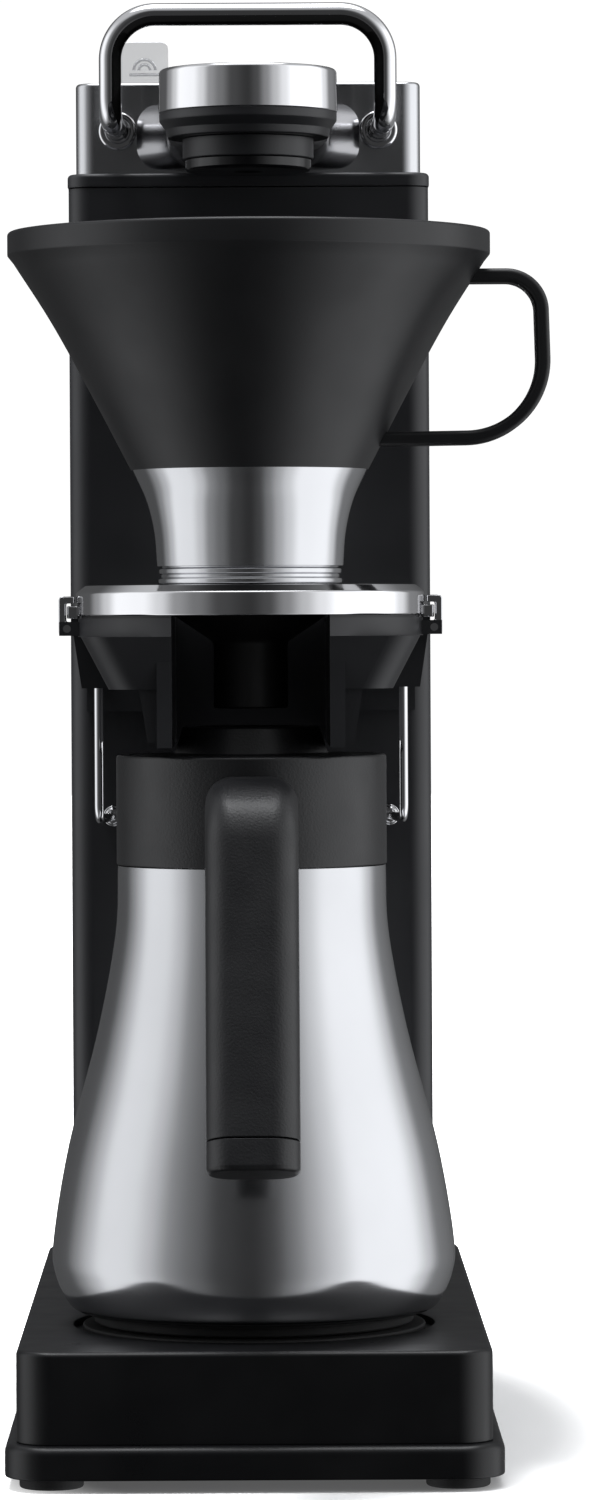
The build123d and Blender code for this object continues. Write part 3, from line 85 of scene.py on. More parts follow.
FLOOR_HALF, FLOOR_GREY, FLOOR_ROUGH = 6.0, 0.8, 0.9
FLOOR_PAINTED_GLOW = (0.068, 0.104, 0.08, 1.05)        # metres from the middle, and the painted glow there: low by the base, where the shadow shows, and white beyond, which cuts the shadow short
BACKDROP_R, BACKDROP_GLOW = 14, 1.05
FLAG_GAP, FLAG_AHEAD, FLAG_BEHIND, FLAG_DROP = 5.0, 28, 8, 6
KEY_AZIMUTH, KEY_OUT, KEY_UP, KEY_SIZE, KEY_WATTS, KEY_AIM = -80, 0.5, 2.2, 0.6, 66, 190


def make_camera():
    data = bpy.data.cameras.new("camera")
    data.lens = CAMERA_LENS
    data.sensor_width = CAMERA_SENSOR
    data.shift_x = CAMERA_SHIFT_X
    data.shift_y = CAMERA_SHIFT_Y
    data.clip_start = 0.05
    camera = bpy.data.objects.new("camera", data)
    camera.location = place(0, -CAMERA_AHEAD, CAMERA_HEIGHT)
    camera.rotation_euler = (math.radians(90), math.radians(CAMERA_ROLL), 0)
    bpy.context.scene.collection.objects.link(camera)
    bpy.context.scene.camera = camera


def make_key_light():
    """A soft panel high on the left, which casts the shadow on the right."""
    data = bpy.data.lights.new("key_left", "AREA")
    data.shape = "RECTANGLE"
    data.size, data.size_y = KEY_SIZE, KEY_SIZE
    data.energy = KEY_WATTS
    lamp = bpy.data.objects.new("key_left", data)
    angle = math.radians(KEY_AZIMUTH)
    aim = place(0, BREW_Y, KEY_AIM)
    lamp.location = aim + Vector((math.sin(angle) * KEY_OUT, -math.cos(angle) * KEY_OUT, KEY_UP))
    lamp.rotation_euler = (aim - lamp.location).to_track_quat("-Z", "Y").to_euler()
    lamp.visible_camera = False
    lamp.visible_glossy = False
    bpy.context.scene.collection.objects.link(lamp)


def math_node(nodes, links, operation, first, second=None):
    node = nodes.new("ShaderNodeMath")
    node.operation = operation
    for socket, value in zip(node.inputs, (first, second)):
        if isinstance(value, (int, float)):
            socket.default_value = value
        elif value is not None:
            links.new(value, socket)
    return node.outputs[0]


def mapped(nodes, links, value, ends, smooth=False):
    """Maps a value from the range ends[0] to ends[1] to the range ends[2] to ends[3]."""
    band = nodes.new("ShaderNodeMapRange")
    if smooth:
        band.interpolation_type = "SMOOTHSTEP"
    for name, end in zip(("From Min", "From Max", "To Min", "To Max"), ends):
        band.inputs[name].default_value = end
    links.new(value, band.inputs["Value"])
    return band.outputs["Result"]


def make_tent():
    """White panels all round with a dark card at the front, joined overhead by a soft white top."""
    world = bpy.data.worlds.new("tent")
    bpy.context.scene.world = world
    world.use_nodes = True
    nodes, links = world.node_tree.nodes, world.node_tree.links
    nodes["Background"].inputs["Color"].default_value = (*TENT_TINT, 1)
    coords = nodes.new("ShaderNodeTexCoord")
    split = nodes.new("ShaderNodeSeparateXYZ")
    links.new(coords.outputs["Generated"], split.inputs[0])
    upward = split.outputs["Z"]
    back = math_node(nodes, links, "MULTIPLY", split.outputs["Y"], -1.0)
    azimuth = math_node(nodes, links, "ARCTAN2", split.outputs["X"], back)
    turn = math_node(nodes, links, "DIVIDE", azimuth, 2 * math.pi)
    turn = math_node(nodes, links, "ADD", turn, 0.5)
    ramp = nodes.new("ShaderNodeValToRGB")
    ramp.color_ramp.interpolation = "EASE"
    stops = ramp.color_ramp.elements
    while len(stops) < len(TENT):
        stops.new(0.5)
    for stop, (degrees, bright) in zip(stops, TENT):
        stop.position = (degrees + 180) / 360
        stop.color = [bright / TENT_MOST] * 3 + [1]
    links.new(turn, ramp.inputs["Fac"])
    sides = math_node(nodes, links, "MULTIPLY", ramp.outputs["Color"], TENT_MOST)
    sides = math_node(nodes, links, "MULTIPLY", sides, mapped(nodes, links, upward, TENT_LOWER, True))
    mix = nodes.new("ShaderNodeMix")
    links.new(mapped(nodes, links, upward, TENT_UPPER, True), mix.inputs["Factor"])
    links.new(sides, mix.inputs["A"])
    mix.inputs["B"].default_value = TOP_BRIGHT
    overhead = mapped(nodes, links, upward, TENT_OVERHEAD, True)
    total = math_node(nodes, links, "ADD", mix.outputs["Result"], overhead)
    links.new(total, nodes["Background"].inputs["Strength"])


def make_floor():
    """A pale floor with a painted glow that rises away from the brewer into the white of the backdrop; kept low
    by the base, it lets the key light's shadow show there and cuts it short further out.
    """
    mesh = bpy.data.meshes.new("floor")
    corners = [(x * FLOOR_HALF, y * FLOOR_HALF, 0) for x, y in ((-1, -1), (1, -1), (1, 1), (-1, 1))]
    mesh.from_pydata(corners, [], [(0, 1, 2, 3)])
    floor = bpy.data.objects.new("floor", mesh)
    bpy.context.scene.collection.objects.link(floor)
    paper, nodes, links, shader = new_material("floor_glow_paper")
    shader.inputs["Base Color"].default_value = (FLOOR_GREY, FLOOR_GREY, FLOOR_GREY, 1)
    shader.inputs["Roughness"].default_value = FLOOR_ROUGH
    shader.inputs["Emission Color"].default_value = (1, 1, 1, 1)
    coords = nodes.new("ShaderNodeTexCoord")
    squeeze = nodes.new("ShaderNodeVectorMath")
    squeeze.operation = "MULTIPLY"
    squeeze.inputs[1].default_value = (1, PLATE_W / PLATE_D, 1)
    distance = nodes.new("ShaderNodeVectorMath")
    distance.operation = "LENGTH"
    links.new(coords.outputs["Object"], squeeze.inputs[0])
    links.new(squeeze.outputs["Vector"], distance.inputs[0])
    # painted glow: little by the base and white a few centimetres out, so the real shadow fades fast
    painted_glow = mapped(nodes, links, distance.outputs["Value"], FLOOR_PAINTED_GLOW, True)
    links.new(painted_glow, shader.inputs["Emission Strength"])
    mesh.materials.append(paper)
    floor.visible_diffuse = False
    floor.visible_glossy = False


def make_backdrop():
    """A white dome that only the camera and clear pieces see."""
    mesh = bpy.data.meshes.new("backdrop")
    shape = bmesh.new()
    bmesh.ops.create_icosphere(shape, subdivisions=3, radius=BACKDROP_R)
    shape.to_mesh(mesh)
    shape.free()
    backdrop = bpy.data.objects.new("backdrop", mesh)
    bpy.context.scene.collection.objects.link(backdrop)
    glow, nodes, links, shader = new_material("backdrop_glow")
    shader.inputs["Base Color"].default_value = (0, 0, 0, 1)
    shader.inputs["Emission Color"].default_value = (1, 1, 1, 1)
    shader.inputs["Emission Strength"].default_value = BACKDROP_GLOW
    mesh.materials.append(glow)
    for ray in ("visible_diffuse", "visible_glossy", "visible_shadow", "visible_volume_scatter"):
        setattr(backdrop, ray, False)


def make_flags():
    """A black card bent to fit inside the carry handle, seen only in its chrome."""
    mesh = bpy.data.meshes.new("flags")
    top = level("carry_handle") - 2 * GRIP_R - FLAG_GAP
    across, low = GRIP_X - GRIP_R - FLAG_GAP, FLANGE_Z - FLAG_DROP
    bends = ((-across, low), (-across, top), (across, top), (across, low))
    corners = [place(x, GRIP_Y + y, z) for x, z in bends for y in (-FLAG_AHEAD, FLAG_BEHIND)]
    mesh.from_pydata(corners, [], [(0, 1, 3, 2), (2, 3, 5, 4), (4, 5, 7, 6)])
    flags = bpy.data.objects.new("flags", mesh)
    bpy.context.scene.collection.objects.link(flags)
    black, nodes, links, shader = new_material("flag_black")
    shader.inputs["Base Color"].default_value = (0.003, 0.003, 0.003, 1)
    shader.inputs["Specular IOR Level"].default_value = 0.0
    mesh.materials.append(black)
    for ray in ("visible_camera", "visible_diffuse", "visible_shadow", "visible_transmission",
                "visible_volume_scatter"):
        setattr(flags, ray, False)


def make_stage():
    make_tent()
    make_floor()
    make_backdrop()
    make_flags()
    make_key_light()
    bpy.context.scene.view_settings.view_transform = "Standard"


# ---- materials ----------------------------------------------------------------------------------
def new_material(name):
    material = bpy.data.materials.new(name)
    material.use_nodes = True
    nodes, links = material.node_tree.nodes, material.node_tree.links
    return material, nodes, links, nodes["Principled BSDF"]


def noise(nodes, links, scale, detail=4.0, stretch=(1, 1, 1)):
    """Object-space noise; scale is in features per metre."""
    coords = nodes.new("ShaderNodeTexCoord")
    mapping = nodes.new("ShaderNodeMapping")
    mapping.inputs["Scale"].default_value = stretch
    texture = nodes.new("ShaderNodeTexNoise")
    texture.inputs["Scale"].default_value = scale
    texture.inputs["Detail"].default_value = detail
    links.new(coords.outputs["Object"], mapping.inputs["Vector"])
    links.new(mapping.outputs["Vector"], texture.inputs["Vector"])
    return texture.outputs["Fac"]


def spread(nodes, links, value, low, high):
    """Maps the middle of a noise to a range."""
    return mapped(nodes, links, value, (0.3, 0.7, low, high))


def tinted(nodes, links, value, colour, change):
    """A colour that drifts lighter and darker with a noise."""
    ramp = nodes.new("ShaderNodeValToRGB")
    ramp.color_ramp.elements[0].position = 0.3
    ramp.color_ramp.elements[1].position = 0.7
    ramp.color_ramp.elements[0].color = [c * (1 - change) for c in colour] + [1]
    ramp.color_ramp.elements[1].color = [min(1, c * (1 + change)) for c in colour] + [1]
    links.new(value, ramp.inputs["Fac"])
    return ramp.outputs["Color"]


def bumped(nodes, links, shader, value, depth, strength=1.0, under=None):
    """Raises a surface by a value, on top of another bump if one is given."""
    bump = nodes.new("ShaderNodeBump")
    bump.inputs["Distance"].default_value = depth
    bump.inputs["Strength"].default_value = strength
    links.new(value, bump.inputs["Height"])
    if under:
        links.new(under, bump.inputs["Normal"])
    links.new(bump.outputs["Normal"], shader.inputs["Normal"])
    return bump.outputs["Normal"]


def plastic(name, colour, rough, grain, depth, drift=0.12, rough_drift=0.05, specular=0.5):
    """Moulded plastic with spark-eroded grain, faint mottling and uneven gloss."""
    material, nodes, links, shader = new_material(name)
    shader.inputs["Specular IOR Level"].default_value = specular
    links.new(tinted(nodes, links, noise(nodes, links, 35), colour, drift), shader.inputs["Base Color"])
    uneven = spread(nodes, links, noise(nodes, links, 60, 6), rough - rough_drift, rough + rough_drift)
    links.new(uneven, shader.inputs["Roughness"])
    bumped(nodes, links, shader, noise(nodes, links, grain, 3), depth, 0.35)
    return material


def leather_grain_plastic(name, colour, rough):
    """Black plastic moulded with a fine leather-like grain of small cells."""
    material, nodes, links, shader = new_material(name)
    links.new(tinted(nodes, links, noise(nodes, links, 40), colour, 0.15), shader.inputs["Base Color"])
    uneven = spread(nodes, links, noise(nodes, links, 90, 5), rough - 0.06, rough + 0.06)
    links.new(uneven, shader.inputs["Roughness"])
    coords = nodes.new("ShaderNodeTexCoord")
    cells = nodes.new("ShaderNodeTexVoronoi")
    cells.feature = "SMOOTH_F1"
    cells.inputs["Scale"].default_value = 1700
    links.new(coords.outputs["Object"], cells.inputs["Vector"])
    first = bumped(nodes, links, shader, cells.outputs["Distance"], 0.00014, 0.3)
    bumped(nodes, links, shader, noise(nodes, links, 2600, 2), 0.00008, 0.3, first)
    return material


def metal(name, colour, rough, lines=0.0, smudge=0.02, line_scale=900):
    """Metal with handling smudges and, with lines, turned or brushed hairlines round the piece."""
    material, nodes, links, shader = new_material(name)
    shader.inputs["Metallic"].default_value = 1.0
    links.new(tinted(nodes, links, noise(nodes, links, 25), colour, 0.03), shader.inputs["Base Color"])
    links.new(spread(nodes, links, noise(nodes, links, 45, 6), rough - smudge, rough + smudge),
              shader.inputs["Roughness"])
    if lines:
        shader.inputs["Anisotropic"].default_value = 0.4
        bumped(nodes, links, shader, noise(nodes, links, line_scale, 2, (0.02, 0.02, 1)), 0.00004, lines)
    else:
        bumped(nodes, links, shader, noise(nodes, links, 30, 2), 0.0001, 0.01)
    return material


def clear_plastic(name, colour, rough):
    """Clear moulded plastic with faint flow marks."""
    material, nodes, links, shader = new_material(name)
    shader.inputs["Transmission Weight"].default_value = 1.0
    shader.inputs["IOR"].default_value = 1.3
    links.new(tinted(nodes, links, noise(nodes, links, 20), colour, 0.02), shader.inputs["Base Color"])
    links.new(spread(nodes, links, noise(nodes, links, 50), rough, rough + 0.06), shader.inputs["Roughness"])
    bumped(nodes, links, shader, noise(nodes, links, 30, 2), 0.0004, 0.08)
    return material


def board_green(name):
    """Solder mask with copper tracks showing through as a finer pattern."""
    material, nodes, links, shader = new_material(name)
    shader.inputs["Roughness"].default_value = 0.35
    coords = nodes.new("ShaderNodeTexCoord")
    tracks = nodes.new("ShaderNodeTexBrick")
    tracks.inputs["Scale"].default_value = 260
    tracks.inputs["Color1"].default_value = (0.01, 0.10, 0.045, 1)
    tracks.inputs["Color2"].default_value = (0.012, 0.13, 0.055, 1)
    tracks.inputs["Mortar"].default_value = (0.03, 0.22, 0.09, 1)
    links.new(coords.outputs["Object"], tracks.inputs["Vector"])
    links.new(tracks.outputs["Color"], shader.inputs["Base Color"])
    return material


def lamp_amber(name):
    """Amber indicator lens, faintly lit from behind."""
    material, nodes, links, shader = new_material(name)
    amber = tinted(nodes, links, noise(nodes, links, 900), (0.9, 0.32, 0.05), 0.1)
    links.new(amber, shader.inputs["Base Color"])
    shader.inputs["Emission Color"].default_value = (1.0, 0.42, 0.08, 1)
    shader.inputs["Emission Strength"].default_value = 0.6
    shader.inputs["Roughness"].default_value = 0.2
    return material


# The near-black colours of the plastics, and the greys of the metals. The column's black is painted lighter
# than the moulded black, a painted light from above, and the base's black is darker than the moulded black.
BLACK_BASE, BLACK_COLUMN_LIT = (0.0042, 0.0043, 0.005), (0.020, 0.0205, 0.0228)
BLACK_MOULDED, BLACK_INNER = (0.0085, 0.0087, 0.0097), (0.008, 0.008, 0.0085)

MATERIALS = {
    "base_plastic": plastic("base_plastic", BLACK_BASE, 0.32, 2600, 0.00004, specular=0.38),
    "column_plastic": plastic("column_plastic", BLACK_COLUMN_LIT, 0.36, 2200, 0.00004, specular=0.45),
    "dripper_plastic": plastic("dripper_plastic", BLACK_MOULDED, 0.36, 2400, 0.00004, specular=0.45),
    "grip_plastic": leather_grain_plastic("grip_plastic", BLACK_MOULDED, 0.38),
    "inner_plastic": plastic("inner_plastic", BLACK_INNER, 0.5, 1800, 0.00006),
    "gloss_black": plastic("gloss_black", (0.004, 0.004, 0.005), 0.16, 1200, 0.00001),
    "rubber": plastic("rubber", (0.006, 0.006, 0.006), 0.7, 1500, 0.0001),
    "chrome": metal("chrome", (0.83, 0.83, 0.845), 0.075),
    "stainless": metal("stainless", (0.60, 0.605, 0.62), 0.18, lines=0.10),
    "stainless_polished": metal("stainless_polished", (0.62, 0.625, 0.64), 0.13, smudge=0.02),
    "screw_steel": metal("screw_steel", (0.5, 0.5, 0.52), 0.35, smudge=0.06),
    "frame_steel": metal("frame_steel", (0.55, 0.56, 0.58), 0.45, smudge=0.1),
    "clear_plastic": clear_plastic("clear_plastic", (0.55, 0.555, 0.565), 0.08),
    "silicone": plastic("silicone", (0.65, 0.65, 0.62), 0.4, 900, 0.00005),
    "circuit": board_green("circuit"),
    "lamp": lamp_amber("lamp"),
}
# a darker, rougher copy of the polished stainless, for the nozzle arm
DARKER_SATIN_ARM = metal("darker_satin_arm", (0.36, 0.36, 0.37), 0.24, smudge=0.03)


def finish_cad_nodes():
    """Gives every CAD node the detailed material of its slot."""
    slots = {part["node"]: part["material_slot"] for part in frame["record"]["subparts"]}
    for name, node in frame["nodes"].items():
        for material_slot in node.material_slots:
            material_slot.material = MATERIALS[slots[name]]


# ---- shape helpers ------------------------------------------------------------------------------
def soften(points, radius, closed=True, steps=CORNER_STEPS):
    """Rounds the corners of a line of points; radius is one number or one for each point."""
    points = [Vector(point) for point in points]
    radii = radius if isinstance(radius, (list, tuple)) else [radius] * len(points)
    out = []
    for index, here in enumerate(points):
        at_end = not closed and index in (0, len(points) - 1)
        if at_end or not radii[index]:
            out.append(here)
            continue
        before = points[index - 1] - here
        after = points[(index + 1) % len(points)] - here
        half = before.angle(after) / 2
        if half > 1.56:
            out.append(here)
            continue
        cut = min(radii[index] / math.tan(half), before.length * 0.49, after.length * 0.49)
        reach = cut / math.cos(half)
        centre = here + (before.normalized() + after.normalized()).normalized() * reach
        start = here + before.normalized() * cut - centre
        end = here + after.normalized() * cut - centre
        sweep = start.angle(end)
        for step in range(steps + 1):
            part = step / steps
            out.append(centre + start * (math.sin((1 - part) * sweep) / math.sin(sweep))
                       + end * (math.sin(part * sweep) / math.sin(sweep)))
    return out


def curve(points, steps=10):
    """A smooth line through the points."""
    points = [Vector(point) for point in points]
    padded = [2 * points[0] - points[1]] + points + [2 * points[-1] - points[-2]]
    out = []
    for a, b, c, d in zip(padded, padded[1:], padded[2:], padded[3:]):
        for step in range(steps):
            t = step / steps
            out.append(0.5 * (2 * b + (c - a) * t + (2 * a - 5 * b + 4 * c - d) * t ** 2
                              + (3 * b - a - 3 * c + d) * t ** 3))
    return out + [points[-1]]


def upright(x=0.0, y=BREW_Y, z=0.0):
    """Where a turned piece stands: millimetres in its own axes to the row's metres."""
    return Matrix.Translation(place(x, y, z)) @ Matrix.Scale(MM, 4)


def facing(x, y, z, direction):
    """Like upright, with the turning axis laid along a direction."""
    turn = Vector(direction).to_track_quat("Z", "Y").to_matrix().to_4x4()
    return Matrix.Translation(place(x, y, z)) @ turn @ Matrix.Scale(MM, 4)


def turned(shape, outline, stand=None):
    """Turns a closed outline of (radius, height) about the stand's axis."""
    stand = stand or upright()
    rings = []
    for radius, height in outline:
        if radius < 1e-6:
            rings.append([shape.verts.new(stand @ Vector((0, 0, height)))])
            continue
        angles = [2 * math.pi * step / ROUND for step in range(ROUND)]
        rings.append([shape.verts.new(stand @ Vector((radius * math.cos(a), radius * math.sin(a), height)))
                      for a in angles])
    for low, high in zip(rings, rings[1:] + rings[:1]):
        if len(low) == len(high) == 1:
            continue
        for step in range(ROUND):
            after = (step + 1) % ROUND
            corners = [low[step % len(low)], low[after % len(low)],
                       high[after % len(high)], high[step % len(high)]]
            shape.faces.new(list(dict.fromkeys(corners)))


def skinned(shape, loops, capped=True):
    """Joins loops of points with the same count into one skin, with flat ends."""
    rings = [[shape.verts.new(point) for point in loop] for loop in loops]
    for low, high in zip(rings, rings[1:]):
        for step, corner in enumerate(low):
            after = (step + 1) % len(low)
            shape.faces.new([corner, low[after], high[after], high[step]])
    if capped:
        shape.faces.new(list(reversed(rings[0])))
        shape.faces.new(rings[-1])
    return rings


def rounded_loop(width, depth, radius, steps=10):
    """A rectangle with rounded corners as a loop of flat points."""
    loop = []
    for quarter, (sx, sy) in enumerate(((1, 1), (-1, 1), (-1, -1), (1, -1))):
        for step in range(steps + 1):
            angle = math.pi / 2 * (quarter + step / steps)
            loop.append(Vector((sx * (width / 2 - radius) + radius * math.cos(angle),
                                sy * (depth / 2 - radius) + radius * math.sin(angle))))
    return loop


def slab_loops(low, high, width, depth, radius, y, low_edge=0.4, high_edge=0.4, x=0.0):
    """Loops of a slab with rounded corners and softened edges, ready to be skinned."""
    turns = [math.pi / 2 * step / CORNER_STEPS for step in range(CORNER_STEPS + 1)]
    levels = [(low + low_edge * (1 - math.cos(a)), low_edge * (1 - math.sin(a))) for a in turns]
    levels += [(high - high_edge * (1 - math.sin(a)), high_edge * (1 - math.cos(a))) for a in turns]
    return [[place(x + p.x, y + p.y, z)
             for p in rounded_loop(width - 2 * inset, depth - 2 * inset, max(radius - inset, 0.2))]
            for z, inset in levels]


def carried(shape, path, section, side):
    """Carries a section along a path in millimetres; the section's first axis starts along side."""
    side = Vector(side)
    loops = []
    for index, here in enumerate(path):
        ahead = path[min(index + 1, len(path) - 1)]
        behind = path[max(index - 1, 0)]
        run = (ahead - behind).normalized()
        side = (side - run * side.dot(run)).normalized()
        other = run.cross(side)
        loops.append([place(*(here + side * a + other * b)) for a, b in section])
    skinned(shape, loops)


def box_section(wide, deep, edge):
    """A flat section with softened corners, to be carried along a path."""
    wide, deep = wide / 2, deep / 2
    return soften([(-wide, -deep), (wide, -deep), (wide, deep), (-wide, deep)], edge)


def circle(radius, steps=32):
    return [(radius * math.cos(2 * math.pi * k / steps), radius * math.sin(2 * math.pi * k / steps))
            for k in range(steps)]


def piece(name, body, slot, nodes, shape, bevel=0.0):
    """Finishes a shape as one object that rides a body and stands for CAD nodes."""
    bmesh.ops.remove_doubles(shape, verts=shape.verts, dist=1e-7)
    bmesh.ops.recalc_face_normals(shape, faces=shape.faces)
    mesh = bpy.data.meshes.new(name)
    shape.to_mesh(mesh)
    shape.free()
    mesh.polygons.foreach_set("use_smooth", [True] * len(mesh.polygons))
    mesh.set_sharp_from_angle(angle=math.radians(40))
    mesh.materials.append(MATERIALS[slot])
    obj = bpy.data.objects.new(name, mesh)
    bpy.context.scene.collection.objects.link(obj)
    if bevel:
        soft = obj.modifiers.new("soft_edges", "BEVEL")
        soft.width, soft.segments, soft.limit_method = bevel * MM, 3, "ANGLE"
        soft.harden_normals = True
    else:
        even = obj.modifiers.new("even_normals", "WEIGHTED_NORMAL")
        even.keep_sharp = True
    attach(obj, body)
    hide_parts(*nodes)
    return obj


def softened(profile):
    """A soft outline from (radius, height, softening) corners."""
    return soften([corner[:2] for corner in profile], [corner[2] for corner in profile])


def lathe(name, body, slot, nodes, profile):
    """A turned piece from an outline of (radius, height, softening) corners."""
    shape = bmesh.new()
    turned(shape, softened(profile))
    return piece(name, body, slot, nodes, shape)


# ---- base ---------------------------------------------------------------------------------------
PLATE_W, PLATE_D, PLATE_R, PLATE_LOW_EDGE, PLATE_HIGH_EDGE = 123.9, 271.0, 11.0, 0.6, 2.2
HOUSING_W, HOUSING_D, HOUSING_R, HOUSING_LOW_EDGE, HOUSING_HIGH_EDGE = 118.2, 265.3, 9.0, 0.3, 1.4
RECESS_R, RECESS_DEPTH, RECESS_EDGE = 46.2, 1.8, 0.5
PAD_R, PAD_EDGE, GROOVES, GROOVE_DEPTH, GROOVE_EDGE = 44.0, 0.6, (38, 30, 22, 14), 0.6, 0.2
FOOT_R, FOOT_X, FOOT_Y, FOOT_EDGE = 8.0, 50.45, 122.0, 0.7
PLATE_LOW, PLATE_HIGH = level("base_plate", top=False), level("base_plate")
DECK = level("base_housing")


def make_base_plate():
    shape = bmesh.new()
    skinned(shape, slab_loops(PLATE_LOW, PLATE_HIGH, PLATE_W, PLATE_D, PLATE_R, 0,
                              PLATE_LOW_EDGE, PLATE_HIGH_EDGE))
    piece("base_plate_fine", "root", "base_plastic", ["base_plate"], shape)


def make_base_housing():
    """The housing, with the round recess under the carafe in its deck."""
    shape = bmesh.new()
    loops = slab_loops(PLATE_HIGH, DECK, HOUSING_W, HOUSING_D, HOUSING_R, 0,
                       HOUSING_LOW_EDGE, HOUSING_HIGH_EDGE)
    rings = skinned(shape, loops, capped=False)
    shape.faces.new(list(reversed(rings[0])))
    lip = [(RECESS_R + RECESS_EDGE, DECK), (RECESS_R + 0.3 * RECESS_EDGE, DECK - 0.24 * RECESS_EDGE),
           (RECESS_R, DECK - RECESS_EDGE), (RECESS_R, DECK - RECESS_DEPTH)]
    recess = []
    for radius, z in lip:
        recess.append([shape.verts.new(place(radius * math.cos(2 * math.pi * k / ROUND),
                                             BREW_Y + radius * math.sin(2 * math.pi * k / ROUND), z))
                       for k in range(ROUND)])
    for high, low in zip(recess, recess[1:]):
        for k in range(ROUND):
            after = (k + 1) % ROUND
            shape.faces.new([high[k], high[after], low[after], low[k]])
    shape.faces.new(recess[-1])
    edges = []
    for loop in (rings[-1], recess[0]):
        for first, second in zip(loop, loop[1:] + loop[:1]):
            edges.append(shape.edges.get((first, second)) or shape.edges.new((first, second)))
    bmesh.ops.triangle_fill(shape, use_beauty=True, edges=edges)
    piece("base_housing_fine", "root", "base_plastic", ["base_housing"], shape)


def make_rest_pad():
    top, low = level("rest_pad"), DECK - RECESS_DEPTH
    profile = [(0, low, 0), (PAD_R, low, 0), (PAD_R, top, PAD_EDGE)]
    for groove in GROOVES:
        profile += [(groove + 1, top, GROOVE_EDGE), (groove + 0.7, top - GROOVE_DEPTH, GROOVE_EDGE),
                    (groove - 0.7, top - GROOVE_DEPTH, GROOVE_EDGE), (groove - 1, top, GROOVE_EDGE)]
    lathe("rest_pad_fine", "root", "rubber", ["rest_pad"], profile + [(0, top, 0)])


def make_feet():
    shape = bmesh.new()
    outline = softened([(0, 0, 0), (FOOT_R, 0, FOOT_EDGE), (FOOT_R, PLATE_LOW, 0.1), (0, PLATE_LOW, 0)])
    for x in (-FOOT_X, FOOT_X):
        for y in (-FOOT_Y, FOOT_Y):
            turned(shape, outline, upright(x, y, 0))
    piece("feet_fine", "root", "rubber", ["base_feet"], shape)


# ---- column -------------------------------------------------------------------------------------
COLUMN_W, COLUMN_FRONT, COLUMN_BACK, COLUMN_R, COLUMN_WALL = 96.5, -4.0, 58.0, 6.0, 2.5
COLUMN_LIP, COLUMN_LIP_EDGE, COLUMN_INNER_R = 14.0, 0.4, 3
COLUMN_MIDDLE = (COLUMN_FRONT + COLUMN_BACK) / 2
BAND_GAP, BAND_OVER, BAND_LOW_EDGE, BAND_HIGH_EDGE = 0.25, 0.5, 0.4, 1.1
COLUMN_TOP = level("column_shell")
HOOD_LOW, HOOD_HIGH = level("hood_shell", top=False), level("hood_shell")
HOOD_W, HOOD_FRONT, HOOD_BACK, HOOD_R, HOOD_LOW_EDGE, HOOD_HIGH_EDGE = 93.1, 10.5, 56.0, 5.2, 0.3, 1.0


def make_column():
    """An open channel whose back edges turn inwards to carry the rear panel."""
    half, inner, mouth = COLUMN_W / 2, COLUMN_W / 2 - COLUMN_WALL, COLUMN_W / 2 - COLUMN_LIP
    back, front = COLUMN_BACK - COLUMN_WALL, COLUMN_FRONT + COLUMN_WALL
    corners = [(-half, COLUMN_FRONT, COLUMN_R), (half, COLUMN_FRONT, COLUMN_R), (half, COLUMN_BACK, COLUMN_R),
               (mouth, COLUMN_BACK, COLUMN_LIP_EDGE), (mouth, back, COLUMN_LIP_EDGE),
               (inner, back, COLUMN_INNER_R), (inner, front, COLUMN_INNER_R),
               (-inner, front, COLUMN_INNER_R), (-inner, back, COLUMN_INNER_R),
               (-mouth, back, COLUMN_LIP_EDGE), (-mouth, COLUMN_BACK, COLUMN_LIP_EDGE),
               (-half, COLUMN_BACK, COLUMN_R)]
    shape = bmesh.new()
    section = softened(corners)
    skinned(shape, [[place(p.x, p.y, z) for p in section] for z in (DECK, COLUMN_TOP)])
    piece("column_fine", "root", "column_plastic", ["column_shell"], shape)


def make_column_cap():
    """The band over the column, a fine gap above it."""
    shape = bmesh.new()
    width, depth = COLUMN_W + BAND_OVER, COLUMN_BACK - COLUMN_FRONT + BAND_OVER
    skinned(shape, slab_loops(COLUMN_TOP + BAND_GAP, HOOD_LOW, width, depth, COLUMN_R + 0.4 * BAND_OVER,
                              COLUMN_MIDDLE, BAND_LOW_EDGE, BAND_HIGH_EDGE))
    piece("column_cap_fine", "root", "column_plastic", ["column_cap"], shape)


def make_hood():
    shape = bmesh.new()
    skinned(shape, slab_loops(HOOD_LOW, HOOD_HIGH, HOOD_W, HOOD_BACK - HOOD_FRONT, HOOD_R,
                              (HOOD_FRONT + HOOD_BACK) / 2, HOOD_LOW_EDGE, HOOD_HIGH_EDGE))
    piece("hood_fine", "root", "stainless", ["hood_shell"], shape)


# ---- carry handle and nozzle -----------------------------------------------------------------------
GRIP_R, GRIP_X, GRIP_Y, GRIP_HEEL, GRIP_CORNER, GRIP_RISE = 3.0, 36.6, -13.5, 7, 12, 1.3
FLANGE_X, FLANGE_R, FLANGE_T, FLANGE_DISH = 35.1, 5.2, 2.0, 1.4
FLANGE_Z = HOOD_LOW + 12.4
ARM_W, ARM_CORNER, ARM_FLARE, ARM_BLEND, ARM_STEPS, ARM_END = 43.0, 6.2, 8.5, 10, 14, 16
CAP_R, BARREL_R, TIP_R = 23.0, 16.8, 16.2
CAP_LOW, CAP_HIGH = level("nozzle_cap", top=False), level("nozzle_cap")
NOZZLE_LOW = level("nozzle_tip", top=False)
NOZZLE_SEAM, NOZZLE_STEP = NOZZLE_LOW + 3, NOZZLE_LOW + 8.5


